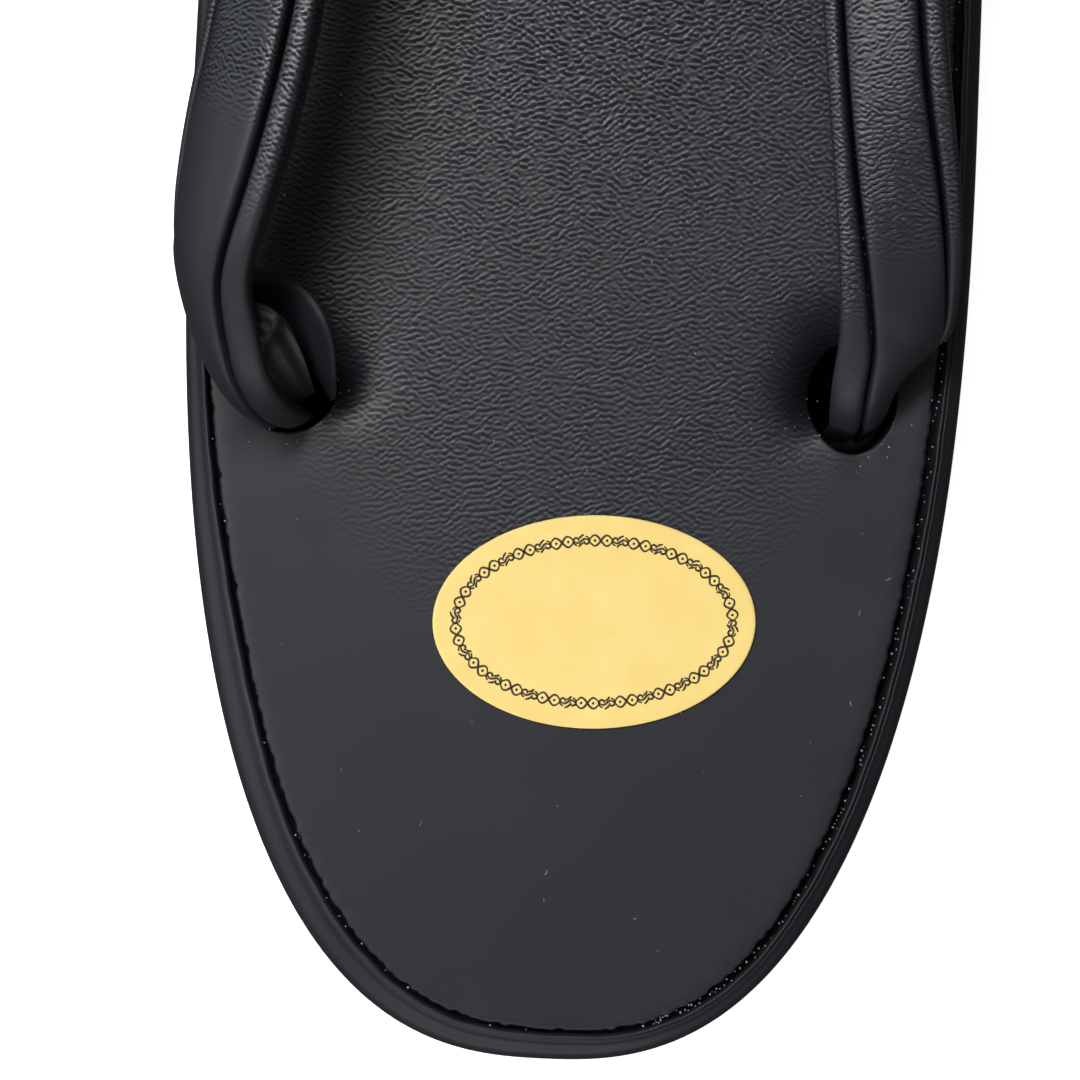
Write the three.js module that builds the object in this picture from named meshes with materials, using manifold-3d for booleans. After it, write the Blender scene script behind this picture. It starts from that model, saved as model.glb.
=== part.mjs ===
// A zori: a thonged sandal on a wedge base that is wrapped in embossed vinyl.
// Millimetres, +Z up, +Y towards the toe. The origin lies on the floor under the middle of the sole.

import * as THREE from "three";
import { mergeVertices } from "three/addons/utils/BufferGeometryUtils.js";
import Module from "manifold-3d";

const wasm = await Module();
wasm.setup();

// Plan outline: a squarish oval, the same on both sides
const LENGTH = 240;
const BALL_WIDTH = 81;
const HEEL_CURVE = 100; // from the heel tip to the full width
const TOE_CURVE = 92; // from the full width to the toe tip
const HEEL_POWER = 2.54; // 2 would be an ellipse, more is squarer
const TOE_POWER = 2.4;
const CURVE_STEPS = 14; // facets along each end curve
const STRAIGHT_STEPS = 7; // facets along the parallel sides between them

// Side profile, a row for each section: heights over the floor of the walking surface and of the glue line
const SIDE_PROFILE = [
  { along: 0, top: 45.0, glueLine: 9.6 },
  { along: 35, top: 43.6, glueLine: 9.6 },
  { along: 75, top: 40.2, glueLine: 9.2 },
  { along: 115, top: 36.0, glueLine: 5.6 },
  { along: 150, top: 33.0, glueLine: 4.8 },
  { along: 185, top: 31.2, glueLine: 5.2 },
  { along: 215, top: 31.2, glueLine: 7.6 },
  { along: 240, top: 32.6, glueLine: 11.4 },
];

// Underside of the outsole: a flat heel, a low arch in front of its breast, a flat tread and the toe spring
const HEEL_BEVEL = { length: 6, rise: 1.0 };
const HEEL_BREAST = { start: 72, end: 77, rise: 4.2 };
const ARCH_END = 116;
const TOE_SPRING = { start: 180, rise: 6.6 };

// Outsole and base walls
const SOLE_INSET = 1.6;
const SOLE_CHAMFER = 0.9;
const FIT_GAP = 0.3; // between pieces that are glued or seated

// The rim of the wrap that shows around the top sheet is widest at the heel, more so on the left
const RIM_WAIST = 2.2;
const RIM_HEEL = 3.0;
const RIM_HEEL_SKEW = 0.6;
const RIM_FADE = { start: 35, end: 75 };
const RIM_SKEW_REACH = 20; // distance from the centre line at which the skew is complete

// The base's section from its foot to the seam. Heights are a share of the way up from the glue line to
// the walking surface, less a drop; the inset is a distance plus a share of the rim's width.
const BASE_SECTION = [
  { share: 0, drop: 0, inset: 2.2, rimShare: 0 },
  { share: 0, drop: -1.3, inset: 1.25, rimShare: 0 },
  { share: 0.45, drop: 0, inset: 0.6, rimShare: 0 },
  { share: 1, drop: 6.5, inset: 0.1, rimShare: 0 },
  { share: 1, drop: 3.6, inset: 0, rimShare: 0 },
  { share: 1, drop: 2.5, inset: 0, rimShare: 0.1 },
  { share: 1, drop: 1.9, inset: 0, rimShare: 0.28 },
  { share: 1, drop: 1.8, inset: 0, rimShare: 0.47 },
  { share: 1, drop: 0.95, inset: 0, rimShare: 0.52 },
  { share: 1, drop: 0.4, inset: 0, rimShare: 0.64 },
  { share: 1, drop: 0.25, inset: 0, rimShare: 0.8 },
  { share: 1, drop: 0.55, inset: 0, rimShare: 0.95 },
  { share: 1, drop: 1.8, inset: 0, rimShare: 1 },
];

// Top sheet, glued inside the rim
const SHEET_THICKNESS = 1.5;
const SEAM_GAP = 0.45;
const SHEET_EDGE = 0.35; // rounding of its cut edge

// Holes for the thong, through the sheet and into the base
const HOLE_DEPTH = 16;
const LEFT_HOLE = { along: 67.1, out: -28.9, radiusX: 5.4, radiusY: 5.4 };
const RIGHT_HOLE = { along: 67.3, out: 28.7, radiusX: 4.8, radiusY: 5.3 };
const FRONT_HOLE = { along: 187.5, out: 0, radiusX: 5.6, radiusY: 3.4 };
const HOLE_FACETS = 24;

// Strap section: a padded band between two rolls, with a groove beside each roll
const GROOVE_WIDTH = 0.5;
const GROOVE_SHARE = 0.5; // heights as a share of the strap's thickness
const ROLL_SHARE = 0.94;
const BAND_EDGE_SHARE = 0.92;
const ROLL_FACETS = 5;
const BAND_FACETS = 6;
const BACK_SHARE = 0.94; // width of the lining as a share of the strap's width
const BACK_FACETS = 9;
const STEPS_PER_ROW = 3; // stations between two rows of an arm's table
const TANGENT_NUDGE = 0.05; // part of a row over which an arm's direction is taken

// The two arms, a row for each section from the toe loop to the rear hole. Along is from the heel tip, out
// is from the centre line and rise is over the walking surface, all to the middle of the strap's face.
// Lean turns the face outwards and curl rolls the edges backwards, both in degrees.
const LEFT_ARM = [
  { along: 191.0, out: -3.2, rise: 15.4, lean: 42, width: 12, inner: 2, outer: 2, thick: 3.3, curl: 95 },
  { along: 190.2, out: 0.6, rise: 15.4, lean: 42, width: 12, inner: 2, outer: 2, thick: 3.3, curl: 95 },
  { along: 188.2, out: 5.2, rise: 15.9, lean: 40, width: 12, inner: 2, outer: 2, thick: 3.6, curl: 85 },
  { along: 181.4, out: 11.6, rise: 17.8, lean: 38, width: 12.2, inner: 2, outer: 2, thick: 3.9, curl: 70 },
  { along: 168.0, out: 18.4, rise: 20.6, lean: 35, width: 12.6, inner: 2.1, outer: 2, thick: 4.1, curl: 55 },
  { along: 149.6, out: 25.0, rise: 22.8, lean: 31, width: 13, inner: 2.3, outer: 2, thick: 4.2, curl: 46 },
  { along: 127.2, out: 29.8, rise: 23.4, lean: 28, width: 13.4, inner: 2.4, outer: 2, thick: 4.2, curl: 42 },
  { along: 104.0, out: 32.6, rise: 22.6, lean: 29, width: 13.6, inner: 2.6, outer: 1.7, thick: 4.2, curl: 44 },
  { along: 94.0, out: 34.5, rise: 21.4, lean: 34, width: 14, inner: 2.9, outer: 1.3, thick: 4.2, curl: 48 },
  { along: 84.6, out: 37.1, rise: 18.8, lean: 44, width: 14.9, inner: 2.9, outer: 1.1, thick: 4.1, curl: 62 },
  { along: 80.0, out: 38.5, rise: 16.6, lean: 52, width: 15.2, inner: 3.1, outer: 1.1, thick: 3.9, curl: 85 },
  { along: 76.2, out: 39.2, rise: 13.8, lean: 61, width: 17.8, inner: 3.6, outer: 1.1, thick: 3.5, curl: 125 },
  { along: 72.4, out: 38.6, rise: 10.2, lean: 78, width: 21, inner: 3.9, outer: 1.2, thick: 3.2, curl: 186 },
  { along: 69.6, out: 36.8, rise: 6.4, lean: 94, width: 23, inner: 4.1, outer: 1.4, thick: 2.9, curl: 224 },
  { along: 67.6, out: 34.7, rise: 2.2, lean: 97, width: 23.5, inner: 4.1, outer: 1.6, thick: 2.5, curl: 262 },
  { along: 67.0, out: 33.3, rise: -2.5, lean: 95, width: 22, inner: 3.6, outer: 1.6, thick: 2.2, curl: 300 },
  { along: 67.0, out: 32.9, rise: -8, lean: 95, width: 21.5, inner: 3.4, outer: 1.6, thick: 2, curl: 305 },
  { along: 67.0, out: 32.9, rise: -14, lean: 95, width: 21.5, inner: 3.4, outer: 1.6, thick: 2, curl: 305 },
];
const RIGHT_ARM = [
  { along: 191.0, out: -3.2, rise: 15.4, lean: 42, width: 12, inner: 2, outer: 2, thick: 3.3, curl: 95 },
  { along: 190.2, out: 0.6, rise: 15.4, lean: 42, width: 12, inner: 2, outer: 2, thick: 3.3, curl: 95 },
  { along: 188.2, out: 5.2, rise: 15.9, lean: 40, width: 12, inner: 2, outer: 2, thick: 3.6, curl: 85 },
  { along: 181.2, out: 11.6, rise: 17.8, lean: 34, width: 12, inner: 2, outer: 2, thick: 3.9, curl: 70 },
  { along: 167.8, out: 18.0, rise: 20.4, lean: 22, width: 12.4, inner: 2, outer: 2, thick: 4.1, curl: 52 },
  { along: 149.2, out: 22.8, rise: 21.8, lean: 6, width: 12.6, inner: 2, outer: 2.1, thick: 4.2, curl: 42 },
  { along: 127.0, out: 26.2, rise: 21.2, lean: -10, width: 12.6, inner: 2, outer: 2.3, thick: 4.2, curl: 38 },
  { along: 107.0, out: 28.2, rise: 19.2, lean: -19, width: 12.6, inner: 2, outer: 2.4, thick: 4.2, curl: 38 },
  { along: 97.0, out: 29.4, rise: 17.2, lean: -12, width: 12.6, inner: 2, outer: 2.3, thick: 4.2, curl: 38 },
  { along: 87.7, out: 31.1, rise: 14.2, lean: 3, width: 13, inner: 2.3, outer: 2, thick: 4.1, curl: 38 },
  { along: 80.0, out: 32.3, rise: 11.4, lean: 12, width: 13.2, inner: 2.7, outer: 1.7, thick: 4, curl: 48 },
  { along: 76.0, out: 32.8, rise: 9.9, lean: 18, width: 13.6, inner: 3, outer: 1.6, thick: 3.8, curl: 60 },
  { along: 73.2, out: 33.0, rise: 8.6, lean: 26, width: 13.8, inner: 3.5, outer: 1.6, thick: 3.4, curl: 82 },
  { along: 70.8, out: 32.5, rise: 7.2, lean: 42, width: 14.4, inner: 4.1, outer: 1.6, thick: 2.9, curl: 135 },
  { along: 68.8, out: 32.1, rise: 4.6, lean: 60, width: 15, inner: 4.2, outer: 1.6, thick: 2.4, curl: 195 },
  { along: 67.5, out: 32.2, rise: 0.4, lean: 74, width: 16, inner: 4, outer: 1.6, thick: 2, curl: 238 },
  { along: 67.2, out: 32.3, rise: -5, lean: 82, width: 16.5, inner: 3.6, outer: 1.6, thick: 2, curl: 255 },
  { along: 67.2, out: 32.3, rise: -14, lean: 84, width: 16.5, inner: 3.4, outer: 1.6, thick: 2, curl: 255 },
];

// Toe loop: a band that rises from the front hole, passes over the joined arms and goes back down.
// Ahead is from the front hole's centre and rise is over the walking surface, to the band's middle.
const LOOP_BAND = { width: 6.8, thickness: 2.0 };
const LOOP_PATH = [
  { ahead: -1.4, rise: -14 },
  { ahead: -1.4, rise: 1 },
  { ahead: -2.4, rise: 5 },
  { ahead: -4.6, rise: 9.5 },
  { ahead: -6.4, rise: 14.5 },
  { ahead: -5.6, rise: 19.0 },
  { ahead: -1.4, rise: 21.2 },
  { ahead: 3.6, rise: 19.6 },
  { ahead: 7.0, rise: 15.6 },
  { ahead: 7.4, rise: 11.0 },
  { ahead: 5.4, rise: 7.0 },
  { ahead: 2.4, rise: 4.0 },
  { ahead: 1.4, rise: 1 },
  { ahead: 1.4, rise: -14 },
];
const LOOP_STEPS = 52;
const LOOP_CORNER = 0.9;
const LOOP_CORNER_FACETS = 3;

// Blank oval paper sticker on the heel
const STICKER = {
  along: 44.5,
  across: 3.2,
  length: 32.6,
  width: 21.5,
  turn: 3,
  thickness: 0.2,
  lift: 0.1,
};
const STICKER_FACETS = 40;

const VINYL = { color: 0x323338, roughness: 0.5, metalness: 0 };
const SOLE_RUBBER = { color: 0x1d1d1f, roughness: 0.85, metalness: 0 };
const GOLD_PAPER = { color: 0xe6cb7d, roughness: 0.6, metalness: 0 };

const radians = THREE.MathUtils.degToRad;
const smoothstep = THREE.MathUtils.smoothstep;
const yOf = (along) => along - LENGTH / 2;

// Reads a table as a smooth curve through its rows, at a place given by the named column or by row number.
function tableCurve(rows, columns, places) {
  const samples = rows.flatMap((row) => columns.map((column) => row[column]));
  const curve = new THREE.CubicInterpolant(places, samples, columns.length);
  return (place) => {
    const values = curve.evaluate(place);
    return Object.fromEntries(columns.map((column, i) => [column, values[i]]));
  };
}

const sideProfile = tableCurve(
  SIDE_PROFILE,
  ["top", "glueLine"],
  SIDE_PROFILE.map((row) => row.along),
);
const topHeight = (along) => sideProfile(THREE.MathUtils.clamp(along, 0, LENGTH)).top;
const glueHeight = (along) => sideProfile(THREE.MathUtils.clamp(along, 0, LENGTH)).glueLine;

// Height of the outsole's underside: zero on the heel and the tread, which stand on the floor.
function treadHeight(along) {
  const bevel = HEEL_BEVEL.rise * Math.max(0, 1 - along / HEEL_BEVEL.length) ** 2;
  const breast = smoothstep(along, HEEL_BREAST.start, HEEL_BREAST.end);
  const archFall = 1 - smoothstep(along, HEEL_BREAST.end, ARCH_END);
  const spring = Math.max(0, (along - TOE_SPRING.start) / (LENGTH - TOE_SPRING.start)) ** 2;
  return bevel + HEEL_BREAST.rise * breast * archFall + TOE_SPRING.rise * spring;
}

// Share of the full width left at a place on one end's curve, and how steeply the outline turns in there.
function endCurve(fromTip, curve, power) {
  const share = Math.max(0, 1 - fromTip / curve);
  return { width: (1 - share ** power) ** (1 / power), turnIn: share ** (power - 1) / curve };
}

// One point of the right half of the outline with the direction that leads inwards from it.
function outlinePoint(along) {
  const heel = endCurve(along, HEEL_CURVE, HEEL_POWER);
  const toe = endCurve(LENGTH - along, TOE_CURVE, TOE_POWER);
  const half = BALL_WIDTH / 2;
  const width = heel.width * toe.width;
  const power = along < LENGTH / 2 ? HEEL_POWER : TOE_POWER;
  const inward = new THREE.Vector2(-(width ** (power - 1)) / half, heel.turnIn - toe.turnIn).normalize();
  return { x: half * width, along, inward };
}

// Places along the length where the outline has a point: close together at the tips and at the heel breast.
function outlineStations() {
  const places = [0, LENGTH, HEEL_BREAST.start, HEEL_BREAST.end];
  for (let i = 1; i <= CURVE_STEPS; i++) {
    const shrink = Math.cos(((i / CURVE_STEPS) * Math.PI) / 2);
    places.push(HEEL_CURVE * (1 - shrink ** (2 / HEEL_POWER)));
    places.push(LENGTH - TOE_CURVE * (1 - shrink ** (2 / TOE_POWER)));
  }
  const straight = LENGTH - HEEL_CURVE - TOE_CURVE;
  for (let i = 1; i < STRAIGHT_STEPS; i++) {
    places.push(HEEL_CURVE + (straight * i) / STRAIGHT_STEPS);
  }
  return places.sort((a, b) => a - b);
}

// The whole outline: up the right side from the heel tip to the toe tip, then back down the left.
const rightHalf = outlineStations().map(outlinePoint);
const leftHalf = rightHalf
  .slice(1, -1)
  .reverse()
  .map((p) => ({ x: -p.x, along: p.along, inward: new THREE.Vector2(-p.inward.x, p.inward.y) }));
const OUTLINE = [...rightHalf, ...leftHalf];

// Width of the wrap's rim at a point of the outline.
function rimWidth({ x, along }) {
  const side = THREE.MathUtils.clamp(x / RIM_SKEW_REACH, -1, 1);
  const heel = RIM_HEEL - RIM_HEEL_SKEW * side;
  return THREE.MathUtils.lerp(heel, RIM_WAIST, smoothstep(along, RIM_FADE.start, RIM_FADE.end));
}

// The outline moved inwards by inset(point) and set at height(along).
function outlineRing(inset, height) {
  return OUTLINE.map((point) => {
    const move = inset(point);
    const along = point.along + point.inward.y * move;
    return new THREE.Vector3(point.x + point.inward.x * move, yOf(along), height(along));
  });
}

// Triangles across a ring whose two sides mirror each other, facing up.
function ladderCap(count) {
  const triangles = [];
  for (let right = 1; right < count / 2; right++) {
    const left = count - right;
    const before = [right - 1, (left + 1) % count];
    triangles.push([before[0], right, left]);
    if (right > 1) triangles.push([before[0], left, before[1]]);
  }
  const toe = count / 2;
  triangles.push([toe - 1, toe, toe + 1]);
  return triangles;
}

// A closed skin over rings of equal count, which run anticlockwise as seen from the last ring's side. The
// caps are triangles of ring places, wound like the rings.
function skin(rings, lastCap, firstCap = lastCap) {
  const count = rings[0].length;
  const indices = [];
  for (let r = 0; r + 1 < rings.length; r++) {
    for (let i = 0; i < count; i++) {
      const next = (i + 1) % count;
      const low = r * count;
      const high = low + count;
      indices.push(low + i, low + next, high + next, low + i, high + next, high + i);
    }
  }
  const last = (rings.length - 1) * count;
  for (const [a, b, c] of lastCap) indices.push(last + a, last + b, last + c);
  for (const [a, b, c] of firstCap) indices.push(a, c, b);
  const geometry = new THREE.BufferGeometry().setFromPoints(rings.flat());
  geometry.setIndex(indices);
  return geometry;
}

// Triangles across any plain outline, wound the way the outline runs.
function outlineCap(points) {
  const triangles = THREE.ShapeUtils.triangulateShape(points, []);
  return THREE.ShapeUtils.isClockWise(points) ? triangles.map(([a, b, c]) => [a, c, b]) : triangles;
}

// Boolean work: a closed geometry as a solid, and a solid as a geometry again.
function solidOf(geometry) {
  const bare = geometry.clone();
  bare.deleteAttribute("normal");
  bare.deleteAttribute("uv");
  const merged = mergeVertices(bare, 1e-4);
  const vertProperties = new Float32Array(merged.attributes.position.array);
  const triVerts = new Uint32Array(merged.index.array);
  return new wasm.Manifold(new wasm.Mesh({ numProp: 3, vertProperties, triVerts }));
}

function geometryOf(solid) {
  const mesh = solid.getMesh();
  const geometry = new THREE.BufferGeometry();
  geometry.setAttribute("position", new THREE.BufferAttribute(mesh.vertProperties, mesh.numProp));
  geometry.setIndex(new THREE.BufferAttribute(mesh.triVerts, 1));
  geometry.computeVertexNormals();
  return geometry;
}

// An upright oval plug that reaches from over the sheet to the bottom of a thong hole.
function holePlug({ along, out, radiusX, radiusY }) {
  const height = HOLE_DEPTH * 2;
  const plug = new THREE.CylinderGeometry(1, 1, height, HOLE_FACETS);
  plug.rotateX(Math.PI / 2);
  plug.scale(radiusX, radiusY, 1);
  plug.translate(out, yOf(along), topHeight(along));
  return solidOf(plug);
}

// A geometry with the three thong holes cut into it.
function pierced(geometry) {
  const plugs = [FRONT_HOLE, LEFT_HOLE, RIGHT_HOLE].map(holePlug);
  return geometryOf(plugs.reduce((solid, plug) => solid.subtract(plug), solidOf(geometry)));
}

const plainCap = ladderCap(OUTLINE.length);

// Sponge rubber outsole with its low heel.
function outsoleGeometry() {
  const top = (along) => glueHeight(along) - FIT_GAP;
  const rings = [
    outlineRing(() => SOLE_INSET + SOLE_CHAMFER, treadHeight),
    outlineRing(() => SOLE_INSET, (along) => treadHeight(along) + SOLE_CHAMFER),
    outlineRing(() => SOLE_INSET, top),
  ];
  return skin(rings, plainCap);
}

// Wedge base: the core in its vinyl wrap, with the wrap's beaded rim standing round a bed for the sheet.
function baseGeometry() {
  const rings = BASE_SECTION.map((row) => {
    const inset = (point) => row.inset + row.rimShare * rimWidth(point);
    const height = (along) => THREE.MathUtils.lerp(glueHeight(along), topHeight(along), row.share) - row.drop;
    return outlineRing(inset, height);
  });
  return pierced(skin(rings, plainCap));
}

// Top sheet, lying in the bed inside the rim.
function sheetGeometry() {
  const edge = (point) => rimWidth(point) + SEAM_GAP;
  const rings = [
    outlineRing(edge, (along) => topHeight(along) - SHEET_THICKNESS),
    outlineRing(edge, (along) => topHeight(along) - SHEET_EDGE),
    outlineRing((point) => edge(point) + SHEET_EDGE, topHeight),
  ];
  return pierced(skin(rings, plainCap));
}

// One roll of the strap's face, from its outer edge inwards, as [distance from the edge, share of thickness].
function rollPoints(width) {
  return Array.from({ length: ROLL_FACETS + 1 }, (_, i) => {
    const turn = (i / ROLL_FACETS) * Math.PI;
    return [(width * (1 - Math.cos(turn))) / 2, GROOVE_SHARE + (ROLL_SHARE - GROOVE_SHARE) * Math.sin(turn)];
  });
}

// The strap's flat section as [distance across, share of thickness], from the outer edge over the face to
// the inner edge and back along the lining.
function strapSection({ width, inner, outer }) {
  const half = width / 2;
  const outerRoll = rollPoints(outer).map(([from, share]) => [from - half, share]);
  const innerRoll = rollPoints(inner).map(([from, share]) => [half - from, share]).reverse();
  const bandStart = outer + GROOVE_WIDTH - half;
  const bandEnd = half - inner - GROOVE_WIDTH;
  const band = Array.from({ length: BAND_FACETS + 1 }, (_, i) => {
    const way = (2 * i) / BAND_FACETS - 1;
    const across = THREE.MathUtils.lerp(bandStart, bandEnd, i / BAND_FACETS);
    return [across, 1 - (1 - BAND_EDGE_SHARE) * way ** 2];
  });
  const back = Array.from({ length: BACK_FACETS + 1 }, (_, i) => {
    const across = half - (width * i) / BACK_FACETS;
    return [BACK_SHARE * across, 0];
  });
  return [...outerRoll, ...band, ...innerRoll, ...back];
}

// One section of an arm: the flat section rolled backwards about the strap's length by the curl.
function curledSection(row) {
  const radius = row.width / radians(row.curl);
  return strapSection(row).map(([across, share]) => {
    const turn = across / radius;
    const reach = radius - (1 - share) * row.thick;
    return new THREE.Vector2(reach * Math.sin(turn), reach * Math.cos(turn) - radius);
  });
}

// One arm of the thong, swept through its table. Side is -1 for the left arm and 1 for the right.
function armGeometry(table, side) {
  const columns = Object.keys(table[0]);
  const read = tableCurve(table, columns, table.map((_, i) => i));
  const place = (at) => {
    const row = read(THREE.MathUtils.clamp(at, 0, table.length - 1));
    return new THREE.Vector3(side * row.out, yOf(row.along), topHeight(row.along) + row.rise);
  };
  const steps = (table.length - 1) * STEPS_PER_ROW;
  const sections = [];
  const rings = [];
  for (let step = 0; step <= steps; step++) {
    const at = step / STEPS_PER_ROW;
    const row = read(at);
    const centre = place(at);
    const tangent = place(at + TANGENT_NUDGE).sub(place(at - TANGENT_NUDGE)).normalize();
    const inward = new THREE.Vector3(-side, 0, 0);
    inward.addScaledVector(tangent, -inward.dot(tangent)).normalize();
    const up = new THREE.Vector3().crossVectors(tangent, inward).multiplyScalar(-side);
    const lean = radians(row.lean);
    const acrossAxis = inward.clone().multiplyScalar(Math.cos(lean)).addScaledVector(up, Math.sin(lean));
    const faceAxis = up.clone().multiplyScalar(Math.cos(lean)).addScaledVector(inward, -Math.sin(lean));
    const section = curledSection(row);
    if (side < 0) section.reverse();
    sections.push(section);
    const seated = (p) => centre.clone().addScaledVector(acrossAxis, p.x).addScaledVector(faceAxis, p.y);
    rings.push(section.map(seated));
  }
  return skin(rings, outlineCap(sections.at(-1)), outlineCap(sections[0]));
}

// The upper: both arms of the thong, joined under the toe loop.
function thongGeometry() {
  return geometryOf(solidOf(armGeometry(LEFT_ARM, -1)).add(solidOf(armGeometry(RIGHT_ARM, 1))));
}

// Rounded rectangle of the toe loop's band: x across the sandal, y through the band.
function loopSection() {
  const halfWidth = LOOP_BAND.width / 2 - LOOP_CORNER;
  const halfThick = LOOP_BAND.thickness / 2 - LOOP_CORNER;
  const corners = [[1, 1], [-1, 1], [-1, -1], [1, -1]];
  return corners.flatMap(([sx, sy], corner) =>
    Array.from({ length: LOOP_CORNER_FACETS + 1 }, (_, i) => {
      const turn = ((corner + i / LOOP_CORNER_FACETS) * Math.PI) / 2;
      return new THREE.Vector2(
        sx * halfWidth + LOOP_CORNER * Math.cos(turn),
        sy * halfThick + LOOP_CORNER * Math.sin(turn),
      );
    }),
  );
}

// Toe loop, swept in the plane of the centre line.
function loopGeometry() {
  const base = topHeight(FRONT_HOLE.along);
  const points = LOOP_PATH.map((p) => new THREE.Vector3(0, yOf(FRONT_HOLE.along + p.ahead), base + p.rise));
  const path = new THREE.CatmullRomCurve3(points, false, "centripetal");
  const section = loopSection();
  const across = new THREE.Vector3(1, 0, 0);
  const rings = [];
  for (let step = 0; step <= LOOP_STEPS; step++) {
    const at = step / LOOP_STEPS;
    const centre = path.getPointAt(at);
    const through = new THREE.Vector3().crossVectors(path.getTangentAt(at), across);
    rings.push(section.map((p) => centre.clone().addScaledVector(across, p.x).addScaledVector(through, p.y)));
  }
  return skin(rings, outlineCap(section));
}

// Oval sticker, following the sheet.
function stickerGeometry() {
  const turn = radians(STICKER.turn);
  const ovalRing = (lift) =>
    Array.from({ length: STICKER_FACETS }, (_, i) => {
      const angle = (i / STICKER_FACETS) * 2 * Math.PI - Math.PI / 2;
      const x = (STICKER.length / 2) * Math.cos(angle);
      const y = (STICKER.width / 2) * Math.sin(angle);
      const along = STICKER.along + x * Math.sin(turn) + y * Math.cos(turn);
      const across = STICKER.across + x * Math.cos(turn) - y * Math.sin(turn);
      return new THREE.Vector3(across, yOf(along), topHeight(along) + lift);
    });
  const rings = [ovalRing(STICKER.lift), ovalRing(STICKER.lift + STICKER.thickness)];
  return skin(rings, ladderCap(STICKER_FACETS));
}

function piece(name, geometry, finish) {
  geometry.computeVertexNormals();
  const mesh = new THREE.Mesh(geometry, new THREE.MeshStandardMaterial(finish));
  mesh.name = name;
  return mesh;
}

const zori = new THREE.Group();
zori.name = "zori";
zori.add(
  piece("outsole", outsoleGeometry(), SOLE_RUBBER),
  piece("wrapped_base", baseGeometry(), VINYL),
  piece("top_sheet", sheetGeometry(), VINYL),
  piece("thong_strap", thongGeometry(), VINYL),
  piece("toe_loop", loopGeometry(), VINYL),
  piece("oval_sticker", stickerGeometry(), GOLD_PAPER),
);

export default zori;
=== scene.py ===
"""Looks of a zori sandal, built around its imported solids.

Sizes are in millimetres until a mesh is made. Along is the distance from the heel tip towards the toe.
"""

import math

import bpy
import numpy as np
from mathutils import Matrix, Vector
from mathutils.geometry import delaunay_2d_cdt


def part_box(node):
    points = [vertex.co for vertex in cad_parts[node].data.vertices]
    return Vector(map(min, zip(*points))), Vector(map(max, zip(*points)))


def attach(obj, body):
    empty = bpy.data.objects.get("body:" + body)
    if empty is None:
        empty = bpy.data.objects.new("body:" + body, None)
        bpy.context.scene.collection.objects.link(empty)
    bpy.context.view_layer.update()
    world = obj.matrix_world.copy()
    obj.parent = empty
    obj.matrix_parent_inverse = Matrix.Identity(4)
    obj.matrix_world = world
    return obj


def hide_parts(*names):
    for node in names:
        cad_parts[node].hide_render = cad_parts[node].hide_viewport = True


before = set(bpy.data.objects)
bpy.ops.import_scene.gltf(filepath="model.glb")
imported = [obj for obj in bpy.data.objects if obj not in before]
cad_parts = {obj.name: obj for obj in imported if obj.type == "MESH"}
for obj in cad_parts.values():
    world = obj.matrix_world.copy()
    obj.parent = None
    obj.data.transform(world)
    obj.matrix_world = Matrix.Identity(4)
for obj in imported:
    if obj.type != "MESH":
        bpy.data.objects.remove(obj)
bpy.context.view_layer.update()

MM = 0.001

# Camera: straight over the heel half, rolled a little, at the photograph's framing
CAMERA_PLACE = (-2.63, -67.51, 441.4)
CAMERA_ROLL = 0.0458
CAMERA_LENS = 131.56
CAMERA_SENSOR = 36.0
CAMERA_NEAR = 10.0

# Plan outline, a squarish oval
BASE_LOW, BASE_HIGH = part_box("wrapped_base")
LENGTH = (BASE_HIGH.y - BASE_LOW.y) / MM
HALF_WIDTH = (BASE_HIGH.x - BASE_LOW.x) / MM / 2
HEEL_CURVE = 100.0
TOE_CURVE = 92.0
HEEL_POWER = 2.54
TOE_POWER = 2.4
CURVE_STEPS = 240
STRAIGHT_STEPS = 110

# Side profile: along, height of the walking surface, height of the glue line
SIDE_PROFILE = (
    (0, 45.0, 9.6),
    (35, 43.6, 9.6),
    (75, 40.2, 9.2),
    (115, 36.0, 5.6),
    (150, 33.0, 4.8),
    (185, 31.2, 5.2),
    (215, 31.2, 7.6),
    (240, 32.6, 11.4),
)

# Underside of the outsole
HEEL_BEVEL_LENGTH = 6.0
HEEL_BEVEL_RISE = 1.0
BREAST_START = 72.0
BREAST_END = 77.0
BREAST_RISE = 4.2
ARCH_END = 116.0
SPRING_START = 180.0
SPRING_RISE = 6.6
SOLE_INSET = 1.6
SOLE_CHAMFER = 0.9
SOLE_EDGE = ((1.0, 0.0), (0.45, 0.12), (0.12, 0.45), (0.0, 1.0))  # inset and rise, times the chamfer
SOLE_TOP_EDGE = 0.4
SOLE_GRID = 2.4
FIT_GAP = 0.3

# Rim of the wrap round the top sheet
RIM_WAIST = 2.2
RIM_HEEL = 3.0
RIM_HEEL_SKEW = 0.6
RIM_FADE = (35.0, 75.0)
RIM_SKEW_REACH = 20.0
RIM_WAVER = 0.05  # unevenness of the hand-pulled bead
RIM_WAVES = (31.0, 17.0, 9.0, 5.0)
RIM_SEED = 3
BED_MARGIN = 1.0

# Base section from its foot to the seam: share of the way up, drop below that, inset and
# share of the rim's width
BASE_SECTION = (
    (0, 0, 2.2, 0),
    (0, -1.3, 1.25, 0),
    (0.45, 0, 0.6, 0),
    (1, 6.5, 0.1, 0),
    (1, 3.6, 0, 0),
    (1, 2.5, 0, 0.10),
    (1, 1.8, 0, 0.26),
    (1, 1.45, 0, 0.46),
    (1, 1.2, 0, 0.58),
    (1, 0.85, 0, 0.68),
    (1, 0.5, 0, 0.78),
    (1, 0.4, 0, 0.87),
    (1, 0.6, 0, 0.95),
    (1, 1.0, 0, 1.0),
    (1, 1.8, 0, 1.0),
)
SECTION_STEPS = 3

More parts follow.
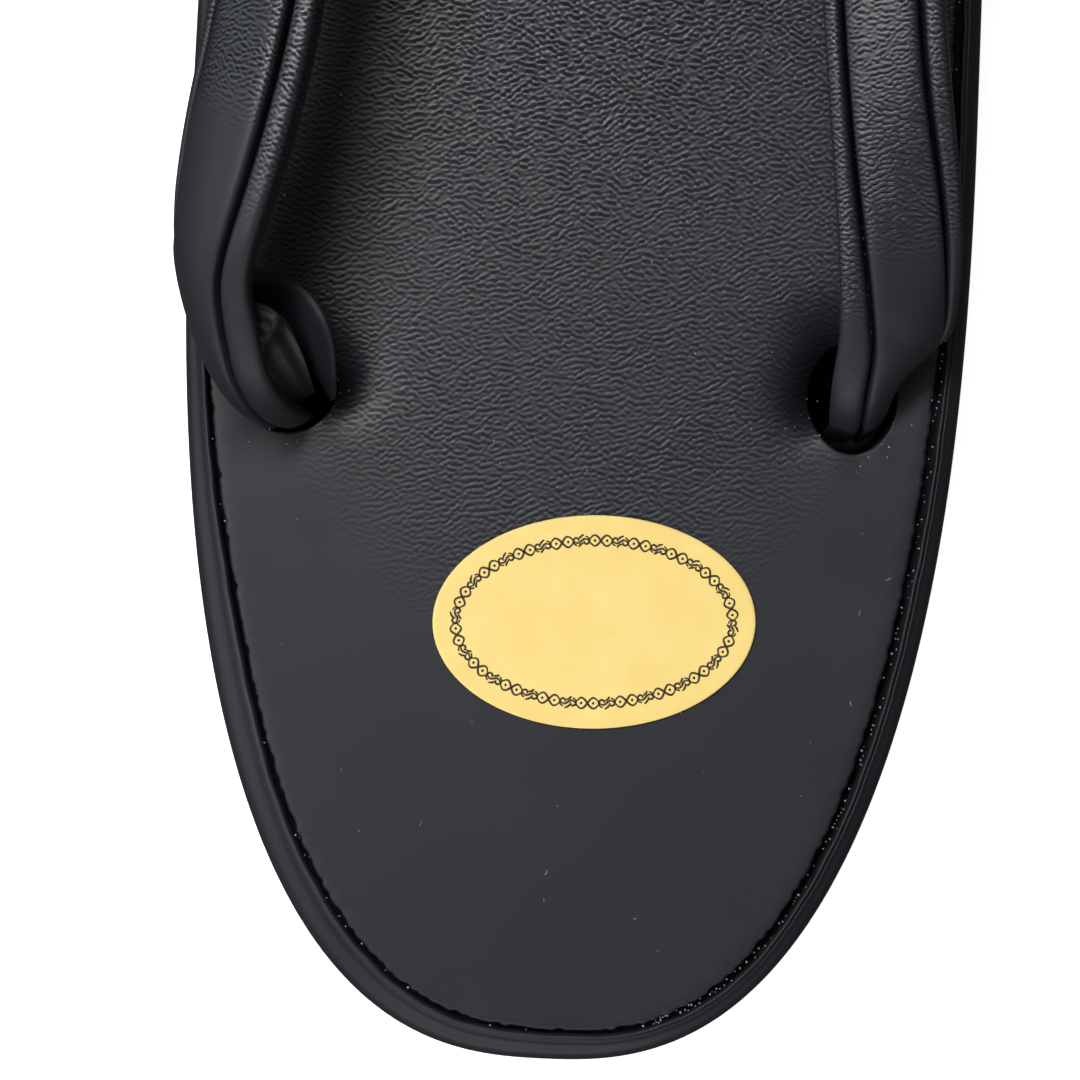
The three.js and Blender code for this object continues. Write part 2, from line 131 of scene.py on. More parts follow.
# Crease between the rim's bead and the band outside it, deeper on the right side than on the left
CREASE_FROM_SEAM = 0.62
CREASE_WIDTH = 0.14
CREASE_DEPTH_LEFT = 0.04
CREASE_DEPTH_RIGHT = 0.42
CREASE_SIDES = (-26.0, 34.0)

# Top sheet
SHEET_THICKNESS = 1.5
SEAM_GAP = 0.42
SEAM_GAP_RIGHT = 0.4  # what the right side's seam gapes more
SEAM_GAPE_SIDES = (0.0, HALF_WIDTH * 0.8)  # across, from where it begins to where it is widest
SHEET_EDGE = 0.4
SHEET_EDGE_STEPS = 4
SHEET_GRID = 1.15
SHEET_GRID_MARGIN = 0.7 * SHEET_GRID
SHEET_RING_MARGIN = 0.5 * SHEET_GRID
CUT_WAVER = 0.10  # raggedness of the cut edge
CUT_WAVES = (6.1, 3.7, 2.3, 1.7, 1.3)
CUT_SEED = 5
SHEET_GRAIN_FADE = (33.0, 57.0)  # along the centre line, from smooth to embossed
SHEET_GRAIN_RISE = (72.0, 106.0)  # along, from weakly to fully embossed
SHEET_GRAIN_WEAK = 0.72
SHEET_GRAIN_BOW = 0.027  # how much sooner the embossing ends at the sides, times the way out squared

# Thong holes: along, out from the centre line, half sizes, depth of the pucker and its reach
HOLES = {
    "left": (67.1, -28.8, 4.9, 4.9, 2.0, 2.0),
    "right": (68.4, 28.5, 4.5, 5.8, 3.2, 2.0),
    "front": (187.5, 0.0, 5.6, 3.4, 0.9, 1.6),
}
HOLE_DEPTH = 16.0
HOLE_FACETS = 56
# Rings of points round a hole, times its half sizes
HOLE_RINGS = (1.0, 1.05, 1.11, 1.18, 1.27, 1.38, 1.52, 1.7)
PUCKER_FOLDS = 7
PUCKER_HEIGHT = 0.07
PUCKER_POWER = 1.2
PUCKER_SIDES = (-0.2, 1.1)  # from none towards the heel and the rim to all towards the toe and the foot

# Strap section: a padded band between two rolls
GROOVE_WIDTH = 0.4
GROOVE_MIDDLE = 0.45 * GROOVE_WIDTH
GROOVE_SHARE = 0.5
GROOVE_FLOOR = 0.15
FLAP_FULL = 3.0
FLAP_FROM = 0.1  # of the width, out from the middle, where a flapped arm begins to thin
FLAP_THINNING = 0.68
ROLL_SHARE = 0.94
BAND_LOW = 0.42
BAND_SQUARE = 10.0
BACK_SHARE = 0.94
ROLL_SQUARE = 3.6
ROLL_STEPS = 23
ROLL_UNDER = 6  # points of the outer roll that lie behind it
BAND_STEPS = 30
BAND_MIDDLE = ROLL_STEPS + BAND_STEPS // 2
BACK_STEPS = 22
STATIONS_PER_ROW = 13
TANGENT_NUDGE = 0.05
EVENING = (-0.7, -0.5, -0.3, -0.1, 0.1, 0.3, 0.5, 0.7)  # rows over which an arm's kinks are evened out

# The arms from the toe loop to the rear holes, with the columns along, out from the centre line, rise
# over the walking surface, lean, width, inner roll, outer roll, thickness, curl and flap. A flap is a thin
# edge beyond the width, and below nought it is what the outer edge falls short of the width.
ARM_FRONT = (
    (191.0, -3.2, 15.4, 42, 12, 2, 2, 3.3, 95, 0),
    (190.2, 0.6, 15.4, 42, 12, 2, 2, 3.3, 95, 0),
    (188.2, 5.2, 15.9, 40, 12, 2, 2, 3.6, 85, 0),
)
LEFT_ARM = (
    *ARM_FRONT,
    (181.4, 11.6, 17.8, 38, 12.2, 2, 2, 3.9, 70, 0),
    (168.0, 18.4, 20.6, 35, 12.6, 2.1, 2, 4.1, 55, 0),
    (149.6, 25.0, 22.8, 31, 13, 2.3, 2, 4.2, 46, 0),
    (127.2, 29.8, 23.4, 28, 13.4, 2.4, 2, 4.2, 42, 0),
    (104.0, 32.6, 22.6, 29, 13.6, 2.6, 1.7, 4.2, 44, 0),
    (94.0, 34.5, 21.4, 34, 14, 2.9, 1.3, 4.2, 48, 0),
    (84.6, 37.1, 18.8, 44, 14.9, 2.9, 1.1, 4.1, 62, -0.6),
    (80.0, 38.5, 16.6, 52, 15.2, 3.1, 1.1, 3.9, 85, -2.2),
    (76.2, 39.2, 13.8, 61, 17.8, 3.6, 1.1, 3.5, 125, -3.4),
    (72.4, 38.6, 10.2, 78, 21, 3.9, 0.8, 3.2, 186, -1.4),
    (69.6, 36.8, 6.4, 94, 23, 4.1, 0.6, 2.9, 224, 5.2),
    (67.6, 34.7, 2.2, 97, 23.5, 4.1, 0.6, 2.5, 262, 5.0),
    (67.0, 33.3, -2.5, 95, 22, 3.6, 0.7, 2.2, 300, 3.2),
    (67.0, 32.9, -8, 95, 21.5, 3.4, 0.9, 2, 305, 1.0),
    (67.0, 32.9, -14, 95, 21.5, 3.4, 0.9, 2, 305, 1.0),
)
RIGHT_ARM = (
    *ARM_FRONT,
    (181.2, 11.6, 17.8, 34, 12, 2, 2, 3.9, 70, 0),
    (167.8, 18.0, 20.4, 22, 12.4, 2, 2, 4.1, 52, 0),
    (149.2, 22.8, 21.8, 6, 12.6, 2, 2.1, 4.2, 42, 0),
    (127.0, 26.2, 21.2, -9, 12.6, 2, 2.3, 4.2, 27, 0),
    (107.0, 28.2, 19.2, -16, 12.6, 2, 2.4, 4.2, 18, 0),
    (97.0, 29.4, 17.2, -14, 12.6, 2, 2.3, 4.2, 16, 0),
    (87.7, 31.1, 14.2, -5, 13, 2.3, 2, 4.1, 20, 0),
    (80.0, 32.2, 11.3, 8, 13.2, 2.9, 1.7, 4, 36, 0),
    (76.0, 32.6, 9.6, 15, 13.6, 3.3, 1.6, 3.8, 56, 0),
    (73.2, 32.8, 8.1, 19, 13.9, 3.7, 1.6, 3.4, 70, 0),
    (70.8, 32.5, 6.3, 30, 14.4, 4.1, 1.6, 2.9, 112, 0),
    (68.6, 32.1, 3.9, 51, 15, 4.2, 1.6, 2.4, 180, 0),
    (67.5, 32.2, 0.4, 74, 16, 4, 1.6, 2, 238, 0),
    (67.2, 32.3, -5, 82, 16.5, 3.6, 1.6, 2, 255, 0),
    (67.2, 32.3, -14, 84, 16.5, 3.4, 1.6, 2, 255, 0),
)
ARMS = {"left": (-1, np.array(LEFT_ARM, float)), "right": (1, np.array(RIGHT_ARM, float))}

# Where the embossing of each part of a strap fades out: along at which it is gone and at which it is full
STRAP_GRAIN_FADE = {
    "left": {"outer": (92.0, 106.0), "band": (90.0, 97.0), "inner": (82.0, 92.0)},
    "right": {"outer": (80.0, 88.0), "band": (80.0, 86.5), "inner": (74.5, 79.0)},
}

# Creases of the arms: along, across from the middle towards the foot, slant, half length across, half width
# along, and depth, which is below nought for a ridge
STRAP_CREASES = {
    "left": (
        (88.6, 5.9, 0.15, 1.5, 0.35, 0.07),
        (75.2, 6.6, 0.3, 1.6, 0.5, 0.08),
        (72.6, 7.4, 0.4, 1.8, 0.6, 0.10),
        (79.0, -2.0, -0.5, 3.0, 1.6, 0.12),
    ),
    "right": (
        (79.9, 5.2, 0.1, 1.3, 0.22, 0.09),
        (79.2, 5.3, -0.1, 1.3, 0.22, 0.09),
        (78.4, 5.2, 0.15, 1.2, 0.25, 0.10),
        (77.5, 5.0, 0.1, 0.9, 0.2, 0.06),
        (71.6, -4.2, 0.9, 0.9, 0.3, 0.20),
        (72.3, -3.2, 0.9, 0.8, 0.3, 0.14),
        (70.4, 5.6, -0.8, 1.6, 0.45, 0.14),
        (74.0, 0.5, 0.5, 3.2, 1.5, 0.15),
    ),
}

# Gathered lining in the mouth of the left arm's end, with a crinkled patch at its top
LINING_FROM = 77.4  # along
LINING_TOP = (74.4, 76.8)  # along, from the patch to where it has gone into the arm
LINING_TUCK = 1.6  # how far its top goes into the arm
LINING_SHRINK = 0.5  # of its reach where it has gone into the arm
LINING_DOWN_TO = 28.0  # height
LINING_LEVEL = 0.8  # between the far edge and the inner roll
LINING_FALL = (0.74, 0.97)  # share of the way across over which it falls to the far edge
LINING_CLEFT = 2.2  # depth of the cleft by the far edge
LINING_REACH = 0.94  # of the way to the far edge
LINING_OPEN = (67.2, 69.0)  # along, from where it reaches all the way to where it stops short
LINING_THICKNESS = 0.4
LINING_STEPS = 70
LINING_ACROSS = 48
LINING_SPAN = 8.0  # width over which its crinkles and its tilt are counted
LINING_FOLDS = 3.0
LINING_FOLD_HEIGHT = 0.22
LINING_FOLD_DRIFT = 0.07  # turns over a millimetre along
LINING_PATCH = (69.6, 70.0)  # along, over which the patch begins
LINING_PATCH_RISE = 11.6  # over the walking surface
LINING_PATCH_TILT = 0.12  # rise towards the foot
LINING_PATCH_SLOPE = 0.12  # rise towards the heel, from the patch's middle
LINING_PATCH_MIDDLE = 72.5
LINING_CRINKLE = 0.18
LINING_CRINKLES = ((5.1, 9.0), (-2.3, 23.0))  # radians over a millimetre along and over the way across
LINING_PLAIN = 0.15  # strength of the fine crinkles beside the patch
LINING_ON_BACK = 0.3  # strength of the fine crinkles on the strap's back

# Toe loop: ahead of the front hole's centre and rise over the walking surface
LOOP_WIDTH = 6.8
LOOP_THICKNESS = 2.0
LOOP_CORNER = 0.9
LOOP_CORNER_STEPS = 6
LOOP_STEPS = 150
LOOP_FINENESS = 40  # steps to a row of the path from which the even ones are taken
LOOP_PATH = (
    (-1.4, -14.0),
    (-1.4, 1.0),
    (-2.4, 5.0),
    (-4.6, 9.5),
    (-6.4, 14.5),
    (-5.6, 19.0),
    (-1.4, 21.2),
    (3.6, 19.6),
    (7.0, 15.6),
    (7.4, 11.0),
    (5.4, 7.0),
    (2.4, 4.0),
    (1.4, 1.0),
    (1.4, -14.0),
)

# Oval sticker
STICKER_ALONG = 44.5
STICKER_ACROSS = 3.2
STICKER_LENGTH = 32.6
STICKER_WIDTH = 21.5
STICKER_TURN = math.radians(3)
STICKER_THICKNESS = 0.2
STICKER_LIFT = 0.1
STICKER_FACETS = 128
STICKER_RINGS = (1.0, 0.992, 0.97, 0.9, 0.75, 0.55, 0.3)
STICKER_UNDERCUT = 0.99
STICKER_EDGE_SAG = 0.15

# Scrolled border printed on the sticker
BORDER_HALF_LENGTH = 14.0
BORDER_HALF_WIDTH = 8.2
BORDER_REPEATS = 18
BORDER_STEPS = 1441
EYES_SHARE = 0.62  # of a repeat
EYE_HALF_HEIGHT = 0.54
EYE_STEPS = 27
DOTS = (0.155, 0.465)  # shares of a repeat
DOT_RADIUS = 0.045
DOT_STEPS = 9
CURLS = ((0.70, 1), (0.92, -1))  # share of a repeat, and which way it curls
CURL_TURN = 1.6 * np.pi
CURL_SIZE = (0.50, 0.12)
CURL_DROP = 0.05
CURL_STEPS = 15
TENDRILS = ((0.74, 0.62, 0.86, 0.2), (0.88, -0.62, 0.76, -0.2))  # share and height at each end
TENDRIL_BOW = 0.12
TENDRIL_STEPS = 7
LINK_HEIGHT = 0.20
LINK_STEPS = 13
INK_WIDTH = 0.18
INK_SWELL = (0.75, 0.5)  # of the width at a stroke's ends, and what its middle has more
STROKE_THICKNESS = 0.012  # of the printed strokes and of the hairs
INK_LIFT = 0.004

# Lint: how large the specks are, and how many lie where
LINT_SEED = 11
SPECK_SIZE = (0.05, 0.14)
SPECK_UNEVEN = (0.6, 1.4)
SPECK_CORNERS = np.array([(1, 0, 0), (0, 1, 0), (-1, 0, 0), (0, -1, 0), (0, 0, 1), (0, 0, -1)], float)
SPECK_SIDES = ((0, 1, 4), (1, 2, 4), (2, 3, 4), (3, 0, 4), (1, 0, 5), (2, 1, 5), (3, 2, 5), (0, 3, 5))
SEAM_RIGHT_SPECKS = 130
SEAM_RIGHT_FROM = 12.0  # out from the centre line
SEAM_RIGHT_TO = 82.0  # along
SEAM_SPECKS = 90
SEAM_SPECKS_TO = 150.0  # along
SEAM_SPECKS_IN = (0.05, 0.6)  # in from the rim
SEAM_SPECKS_DOWN = (0.0, 0.5)
GROOVE_SPECKS = 40
GROOVE_SPECKS_TO = 105.0  # along
GROOVE_SPECKS_FROM = 44.0  # height
GROOVE_SPECKS_UP = (0.2, 1.0)  # share of the way up to the roll
HOLE_SPECKS = 20
HOLE_SPECKS_TURN = (-np.pi, 0.25 * np.pi)
HOLE_SPECKS_SPREAD = 0.18
SHEET_SPECKS = 46
SHEET_SPECKS_ALONG = (10.0, 110.0)
SHEET_SPECKS_OUT = (-0.85, 0.85)  # share of the half width

# Hairs on the sheet: along, out from the centre line, length, heading in degrees and bend in degrees
HAIR_WIDTH = 0.07
HAIR_LIFT = 0.05
HAIR_TAPER = (0.1, 0.95)  # parts of a half wave at its two ends
HAIR_STEPS = 12
HAIRS = (
    (50.0, 32.3, 0.9, 25, 30),
    (46.2, 29.8, 0.8, 75, 40),
    (37.1, 29.5, 0.6, 110, 20),
    (18.8, -0.7, 0.7, 60, 50),
    (23.1, -13.5, 0.9, 70, 30),
    (14.8, 8.4, 0.5, 20, 10),
    (16.0, -0.6, 0.6, 100, 60),
    (80.9, 7.2, 0.9, 80, 100),
    (102.4, -13.6, 0.8, 30, 60),
    (106.5, 30.6, 1.4, 100, 40),
)

# Ranges that hold most of a noise texture's values, and their middle part
NOISE_RANGE = (0.3, 0.7)
NOISE_MIDDLE = (0.35, 0.65)

# Vinyl
VINYL_IOR = 1.42
VINYL_SHEEN = 0.5
BACKING_SHEEN = 0.12  # of the matt cloth behind the vinyl
PORE_SCALE = 6.0
PORE_HEIGHT = 0.004
TONE_SCALE = 0.07
WEAR_SCALE = 0.11
WEAR_SPREAD = 0.04  # of the roughness, up and down
LINING_SCALE = 2.4
LINING_BUMP = 0.14
GRAIN_HEIGHT = 0.082  # times the pitch
GRAIN_GLOSS = 0.15  # how much less rough the embossed vinyl is than the worn smooth part
GRAIN_WAVES = 1.6  # ridges in one patch of like-minded ridges
GRAIN_ORDER = 0.62  # 1 where all ridges run straight across
GRAIN_SWING = 0.4  # how far the ridges' heading swings from place to place, in radians
GRAIN_SWING_SCALE = 0.16
GRAIN_EDGES = (0.28, 0.72)  # of the ridges, from valley to crest
# Sheen of the embossing: low in its valleys as painted shade, standing in for the shade a bump cannot cast,
# and high on its crests as a painted highlight
VALLEY_SHADE_SHEEN = 0.05  # sheen of the embossing's valleys
CREST_HIGHLIGHT_SHEEN = 1.1  # sheen of its crests
SHEET_GRAIN_PITCH = 0.63
STRAP_GRAIN_PITCH = 0.56
LOOP_GRAIN = 0.8

# Foam rubber and gold paper
FOAM_PORE_SCALE = 2.2
FOAM_PORE_HEIGHT = 0.12
TREAD_RIB_SCALE = 0.16
TREAD_RIB_HEIGHT = 0.4
FIBRE_SCALE = 3.0
FIBRE_HEIGHT = 0.01

# Floor that sweeps up into a backdrop all round: distance out and rise
FLOOR_SWEEP = ((1400, 0), (1800, 20), (2200, 100), (2600, 300), (2900, 700), (3000, 1400), (3000, 3200))
FLOOR_FACETS = 48
FLOOR_GLOW = 0.82

# Lights: place and size in metres, power in watts and colour
LIGHT_TARGET = (0, -0.05, 0.03)
NEAR_WHITE = (0.95, 0.98, 1.0)
SKY_WHITE = (0.89, 0.95, 1.0)
LIGHTS = {
    "key_softbox": ((-0.38, 0.43, 1.03), (0.80, 0.24), 10.3, NEAR_WHITE),
    "top_panel": ((-0.58, -0.18, 1.0), (0.35, 0.35), 3.0, NEAR_WHITE),
    "left_panel": ((-0.95, -0.05, 0.34), (1.0, 0.6), 3.0, SKY_WHITE),
    "heel_panel": ((-0.15, -0.98, 0.40), (1.0, 0.45), 4.5, SKY_WHITE),
    "right_panel": ((0.42, -0.62, 0.72), (0.5, 0.5), 0.8, SKY_WHITE),
}
WORLD_COLOUR = (0.97, 0.98, 1.0, 1)
WORLD_STRENGTH = 0.092


def smoothstep(value, low, high):
    t = np.clip((value - low) / (high - low), 0.0, 1.0)
    return t * t * (3 - 2 * t)


def normalised(vectors):
    return vectors / np.linalg.norm(vectors, axis=1)[:, None]


def run_along(points):
    """Distance gone at each point of a path."""
    return np.concatenate([[0], np.cumsum(np.linalg.norm(np.diff(points, axis=0), axis=1))])


def full_turn(count):
    return np.arange(count) / count * 2 * np.pi


def on_circle(turn):
    return np.column_stack([np.cos(turn), np.sin(turn)])


def smooth_table(rows, at, places=None):
    """A table's columns at the places given, on smooth curves through its rows."""
    values = np.array(rows, float)
    places = np.arange(len(values), dtype=float) if places is None else np.array(places, float)
    chords = np.diff(values, axis=0) / np.diff(places)[:, None]
    slopes = np.vstack([chords[:1], (chords[1:] + chords[:-1]) / 2, chords[-1:]])
    at = np.clip(np.asarray(at, float), places[0], places[-1])
    row = np.clip(np.searchsorted(places, at, side="right") - 1, 0, len(places) - 2)
    step = (places[row + 1] - places[row])[..., None]
    t = (at - places[row])[..., None] / step
    start = values[row] * (2 * t**3 - 3 * t**2 + 1) + values[row + 1] * (3 * t**2 - 2 * t**3)
    return start + step * (slopes[row] * (t**3 - 2 * t**2 + t) + slopes[row + 1] * (t**3 - t**2))


def side_profile(along):
    rows = [row[1:] for row in SIDE_PROFILE]
    return smooth_table(rows, along, [row[0] for row in SIDE_PROFILE])


def top_height(along):
    return side_profile(along)[..., 0]


def glue_height(along):
    return side_profile(along)[..., 1]


def on_top(flat):
    """Flat points set at the height of the walking surface."""
    return np.column_stack([flat, top_height(flat[:, 1] + LENGTH / 2)])


def tread_height(along):
    """Underside of the outsole: zero on the heel and the tread."""
    bevel = HEEL_BEVEL_RISE * np.maximum(0, 1 - along / HEEL_BEVEL_LENGTH) ** 2
    breast = smoothstep(along, BREAST_START, BREAST_END) * (1 - smoothstep(along, BREAST_END, ARCH_END))
    spring = np.maximum(0, (along - SPRING_START) / (LENGTH - SPRING_START)) ** 2
    return bevel + BREAST_RISE * breast + SPRING_RISE * spring


class Outline:
    """Points of the plan outline, up the right side and down the left, each with its inward direction."""

    def __init__(self, curve_steps, straight_steps):
        shrink = np.cos(np.arange(curve_steps + 1) / curve_steps * np.pi / 2)
        heel = HEEL_CURVE * (1 - shrink ** (2 / HEEL_POWER))
        toe = LENGTH - TOE_CURVE * (1 - shrink ** (2 / TOE_POWER))
        straight = np.linspace(HEEL_CURVE, LENGTH - TOE_CURVE, straight_steps + 1)[1:-1]
        along = np.concatenate([heel, straight, toe[::-1]])
        heel_share = np.maximum(0, 1 - along / HEEL_CURVE)
        toe_share = np.maximum(0, 1 - (LENGTH - along) / TOE_CURVE)
        heel_width = (1 - heel_share**HEEL_POWER) ** (1 / HEEL_POWER)
        toe_width = (1 - toe_share**TOE_POWER) ** (1 / TOE_POWER)
        width = heel_width * toe_width
        power = np.where(along < LENGTH / 2, HEEL_POWER, TOE_POWER)
        turn_heel = heel_share ** (HEEL_POWER - 1) / HEEL_CURVE
        turn_toe = toe_share ** (TOE_POWER - 1) / TOE_CURVE
        across = -(width ** (power - 1)) / HALF_WIDTH
        inward = normalised(np.column_stack([across, turn_heel - turn_toe]))
        back = slice(-2, 0, -1)
        self.x = np.concatenate([HALF_WIDTH * width, -HALF_WIDTH * width[back]])
        self.along = np.concatenate([along, along[back]])
        self.inward = np.concatenate([inward, inward[back] * (-1, 1)])
        steps = np.hypot(np.diff(self.x, append=self.x[0]), np.diff(self.along, append=self.along[0]))
        self.run = np.concatenate([[0], np.cumsum(steps)[:-1]])
        self.perimeter = steps.sum()

    def rim_width(self):
        side = np.clip(self.x / RIM_SKEW_REACH, -1, 1)
        heel = RIM_HEEL - RIM_HEEL_SKEW * side
        return heel + (RIM_WAIST - heel) * smoothstep(self.along, *RIM_FADE)

    def ring(self, inset, height):
        """The outline moved inwards by inset and set at height(along)."""
        along = self.along + self.inward[:, 1] * inset
        x = self.x + self.inward[:, 0] * inset
        return np.stack([x, along - LENGTH / 2, height(along)], axis=1)

    def waver(self, lengths, seed):
        """An uneven closed wave round the outline, about one high, from waves of the lengths given."""
        draw = np.random.default_rng(seed)
        total = np.zeros(len(self.run))
        for length in lengths:
            turns = max(1, round(self.perimeter / length))
            total += np.sin(2 * np.pi * (turns * self.run / self.perimeter + draw.random()))
        return total / math.sqrt(len(lengths))


OUTLINE = Outline(CURVE_STEPS, STRAIGHT_STEPS)


def tube_faces(ring_count, ring_size):
    """Quads between rings of equal size, which run anticlockwise as seen from the last one's side."""
    low = np.arange(ring_count - 1)[:, None] * ring_size
    place = np.arange(ring_size)[None, :]
    following = (place + 1) % ring_size
    corners = (low + place, low + following, low + ring_size + following, low + ring_size + place)
    return [tuple(int(i) for i in quad) for quad in np.stack(corners, axis=-1).reshape(-1, 4)]


def wall_faces(first, second, count):
    """Quads between two rings of points, from the numbers of their first points."""
    after = [(i + 1) % count for i in range(count)]
    return [(first + i, first + k, second + k, second + i) for i, k in enumerate(after)]


def capped_tube(rings):
    """Points and faces of a closed tube through rings of equal size."""
    size = len(rings[0])
    faces = tube_faces(len(rings), size)
    faces.append(tuple(range(size))[::-1])
    faces.append(tuple(range((len(rings) - 1) * size, len(rings) * size)))
    return np.vstack(rings), faces


def joined(parts):
    """Several sets of points and faces as one."""
    points, faces, count = [], [], 0
    for corners, sides in parts:
        points.append(corners)
        faces += [tuple(i + count for i in side) for side in sides]
        count += len(corners)
    return np.vstack(points), faces


def fill_outline(outer, holes=(), inside=()):
    """Flat points and triangles over an outline with holes: the outline's points first, then the holes'."""
    rings = [np.asarray(outer), *[np.asarray(hole) for hole in holes]]
    edges = []
    start = 0
    for ring in rings:
        count = len(ring)
        edges += [(start + i, start + (i + 1) % count) for i in range(count)]
        start += count
    points = np.vstack([*rings, np.asarray(inside).reshape(-1, 2)])
    found = delaunay_2d_cdt([Vector(p) for p in points], edges, [], 1, 1e-5)
    flat = np.array([tuple(p) for p in found[0]])
    triangles = np.array(found[2])
    middles = flat[triangles].mean(axis=1)
    kept = np.ones(len(triangles), bool)
    for hole in rings[1:]:
        centre = hole.mean(axis=0)
        half = (hole.max(axis=0) - hole.min(axis=0)) / 2
        kept &= (((middles - centre) / half) ** 2).sum(axis=1) > 1
    return flat, triangles[kept]


def half_widths(outer, y):
    """How far a symmetric outline reaches to the right at each y."""
    right = outer[outer[:, 0] >= 0]
    order = np.argsort(right[:, 1])
    return np.interp(y, right[order, 1], right[order, 0])


def grid_inside(outer, spacing, margin, holes=()):
    """Staggered points inside an outline, clear of its edge and of the holes' rings."""
    low, high = outer[:, 1].min(), outer[:, 1].max()
    rows = np.arange(low, high, spacing * math.sqrt(3) / 2)
    points = []
    for i, (y, reach) in enumerate(zip(rows, half_widths(outer, rows) - margin)):
        xs = np.arange(-reach, reach, spacing) + spacing / 2 * (i % 2)
        points += [(x, y) for x in xs if x < reach and low + margin < y < high - margin]
    points = np.array(points)
    for along, out, half_x, half_y, _, _ in holes:
        away = np.hypot((points[:, 0] - out) / half_x, (points[:, 1] - along + LENGTH / 2) / half_y)
        points = points[away > HOLE_RINGS[-1] + spacing / 2 / half_x]
    return points


def rings_inside(outer, margin):
    """Points on rings round the holes, where they are clear of an outline's edge."""
    points = np.vstack([hole_ring(hole, share) for hole in HOLES.values() for share in HOLE_RINGS[1:]])
    return points[np.abs(points[:, 0]) < half_widths(outer, points[:, 1]) - margin]


def hole_ring(hole, share):
    along, out, half_x, half_y, _, _ = hole
    return on_circle(full_turn(HOLE_FACETS)) * (share * half_x, share * half_y) + (out, along - LENGTH / 2)


def pucker_drop(x, y):
    """How far the sheet is drawn down towards the thong holes."""
    drop = np.zeros_like(x)
    for along, out, half_x, half_y, depth, reach in HOLES.values():
        across = (x - out) / half_x
        forward = (y - along + LENGTH / 2) / half_y
        from_centre = np.maximum(np.hypot(across, forward), 1)
        footward = (forward - across * np.sign(out)) / from_centre
        away = (from_centre - 1) * (half_x + half_y) / 2
        fold = PUCKER_HEIGHT * np.cos(PUCKER_FOLDS * np.arctan2(forward, across) + out)
        deep = depth * smoothstep(footward, *PUCKER_SIDES)
        drop += deep * np.exp(-((away / reach) ** PUCKER_POWER)) + fold * np.exp(-away / reach) * (away > 0)
    return drop


def make_piece(name, points, faces, material, **attributes):
    """A smooth-shaded mesh object from points in millimetres, with named numbers on its points."""
    mesh = bpy.data.meshes.new(name)
    mesh.from_pydata((np.asarray(points) * MM).tolist(), [], [tuple(map(int, f)) for f in faces])
    for key, values in attributes.items():
        values = np.asarray(values, np.float32)
        kind = "FLOAT" if values.ndim == 1 else "FLOAT_VECTOR"
        field = "value" if values.ndim == 1 else "vector"
        mesh.attributes.new(key, kind, "POINT").data.foreach_set(field, values.ravel())
    mesh.polygons.foreach_set("use_smooth", np.ones(len(mesh.polygons), bool))
    mesh.materials.append(material)
    mesh.update()
    piece = bpy.data.objects.new(name, mesh)
    bpy.context.scene.collection.objects.link(piece)
    return piece


def flow_of(across, along):
    """Coordinates of the embossing, in millimetres across and along a piece of vinyl."""
    return np.stack([across, along, np.zeros_like(across)], axis=1)


# Materials


def add_node(tree, kind, inputs=None, **settings):
    """A node with its settings, and with its inputs linked to sockets or set to values."""
    made = tree.nodes.new(kind)
    for key, value in settings.items():
        setattr(made, key, value)
    for key, value in (inputs or {}).items():
        if isinstance(value, bpy.types.NodeSocket):
            tree.links.new(value, made.inputs[key])
        else:
            made.inputs[key].default_value = value
    return made


def calculate(tree, operation, first, second):
    return add_node(tree, "ShaderNodeMath", {0: first, 1: second}, operation=operation).outputs[0]


def attribute(tree, name, output):
    return add_node(tree, "ShaderNodeAttribute", attribute_name=name).outputs[output]


def scaled(tree, vector, scale):
    made = add_node(tree, "ShaderNodeVectorMath", {0: vector, 1: scale}, operation="MULTIPLY")
    return made.outputs[0]


def noise(tree, vector, scale, detail=2.0):
    inputs = {"Vector": vector, "Scale": scale, "Detail": detail}
    return add_node(tree, "ShaderNodeTexNoise", inputs).outputs["Fac"]


def spread(tree, value, low, high, to_low, to_high, smooth=False):
    inputs = {"Value": value, "From Min": low, "From Max": high, "To Min": to_low, "To Max": to_high}
    kind = "SMOOTHSTEP" if smooth else "LINEAR"
    return add_node(tree, "ShaderNodeMapRange", inputs, interpolation_type=kind).outputs[0]


def new_material(name, roughness, ior=1.5):
    """A material with a Principled shader. Returns the material, its tree and the shader."""
    material = bpy.data.materials.new(name)
    material.use_nodes = True
    tree = material.node_tree
    tree.nodes.clear()
    shader = add_node(tree, "ShaderNodeBsdfPrincipled")
    shader.inputs["Roughness"].default_value = roughness
    shader.inputs["IOR"].default_value = ior
    output = add_node(tree, "ShaderNodeOutputMaterial")
    tree.links.new(shader.outputs[0], output.inputs["Surface"])
    return material, tree, shader


def add_bump(tree, shader, height_mm):
    """Bump from a height in millimetres."""
    bump = add_node(tree, "ShaderNodeBump", {"Height": height_mm, "Distance": MM, "Strength": 1.0})
    tree.links.new(bump.outputs[0], shader.inputs["Normal"])


def mottled(tree, shader, vector, dark, light, scale):
    """A base colour that drifts between two close tones."""
    drift = noise(tree, vector, scale, detail=3.0)
    mix = add_node(
        tree,
        "ShaderNodeMix",
        {"Factor": spread(tree, drift, *NOISE_MIDDLE, 0.0, 1.0), "A": dark, "B": light},
        data_type="RGBA",
    )
    tree.links.new(mix.outputs["Result"], shader.inputs["Base Color"])


def embossing(tree, flow, pitch):
    """Height from 0 to 1 of the short wavy ridges pressed into the vinyl, which run across it."""
    swing = noise(tree, flow, GRAIN_SWING_SCALE, detail=1.0)
    heading = spread(tree, swing, *NOISE_RANGE, (np.pi - GRAIN_SWING) / 2, (np.pi + GRAIN_SWING) / 2)
    inputs = {
        "Vector": flow,
        "Scale": 1 / (pitch * GRAIN_WAVES),
        "Frequency": GRAIN_WAVES,
        "Anisotropy": GRAIN_ORDER,
        "Orientation": heading,
    }
    ridges = add_node(tree, "ShaderNodeTexGabor", inputs, gabor_type="2D").outputs["Value"]
    return spread(tree, ridges, *GRAIN_EDGES, 0.0, 1.0, smooth=True)


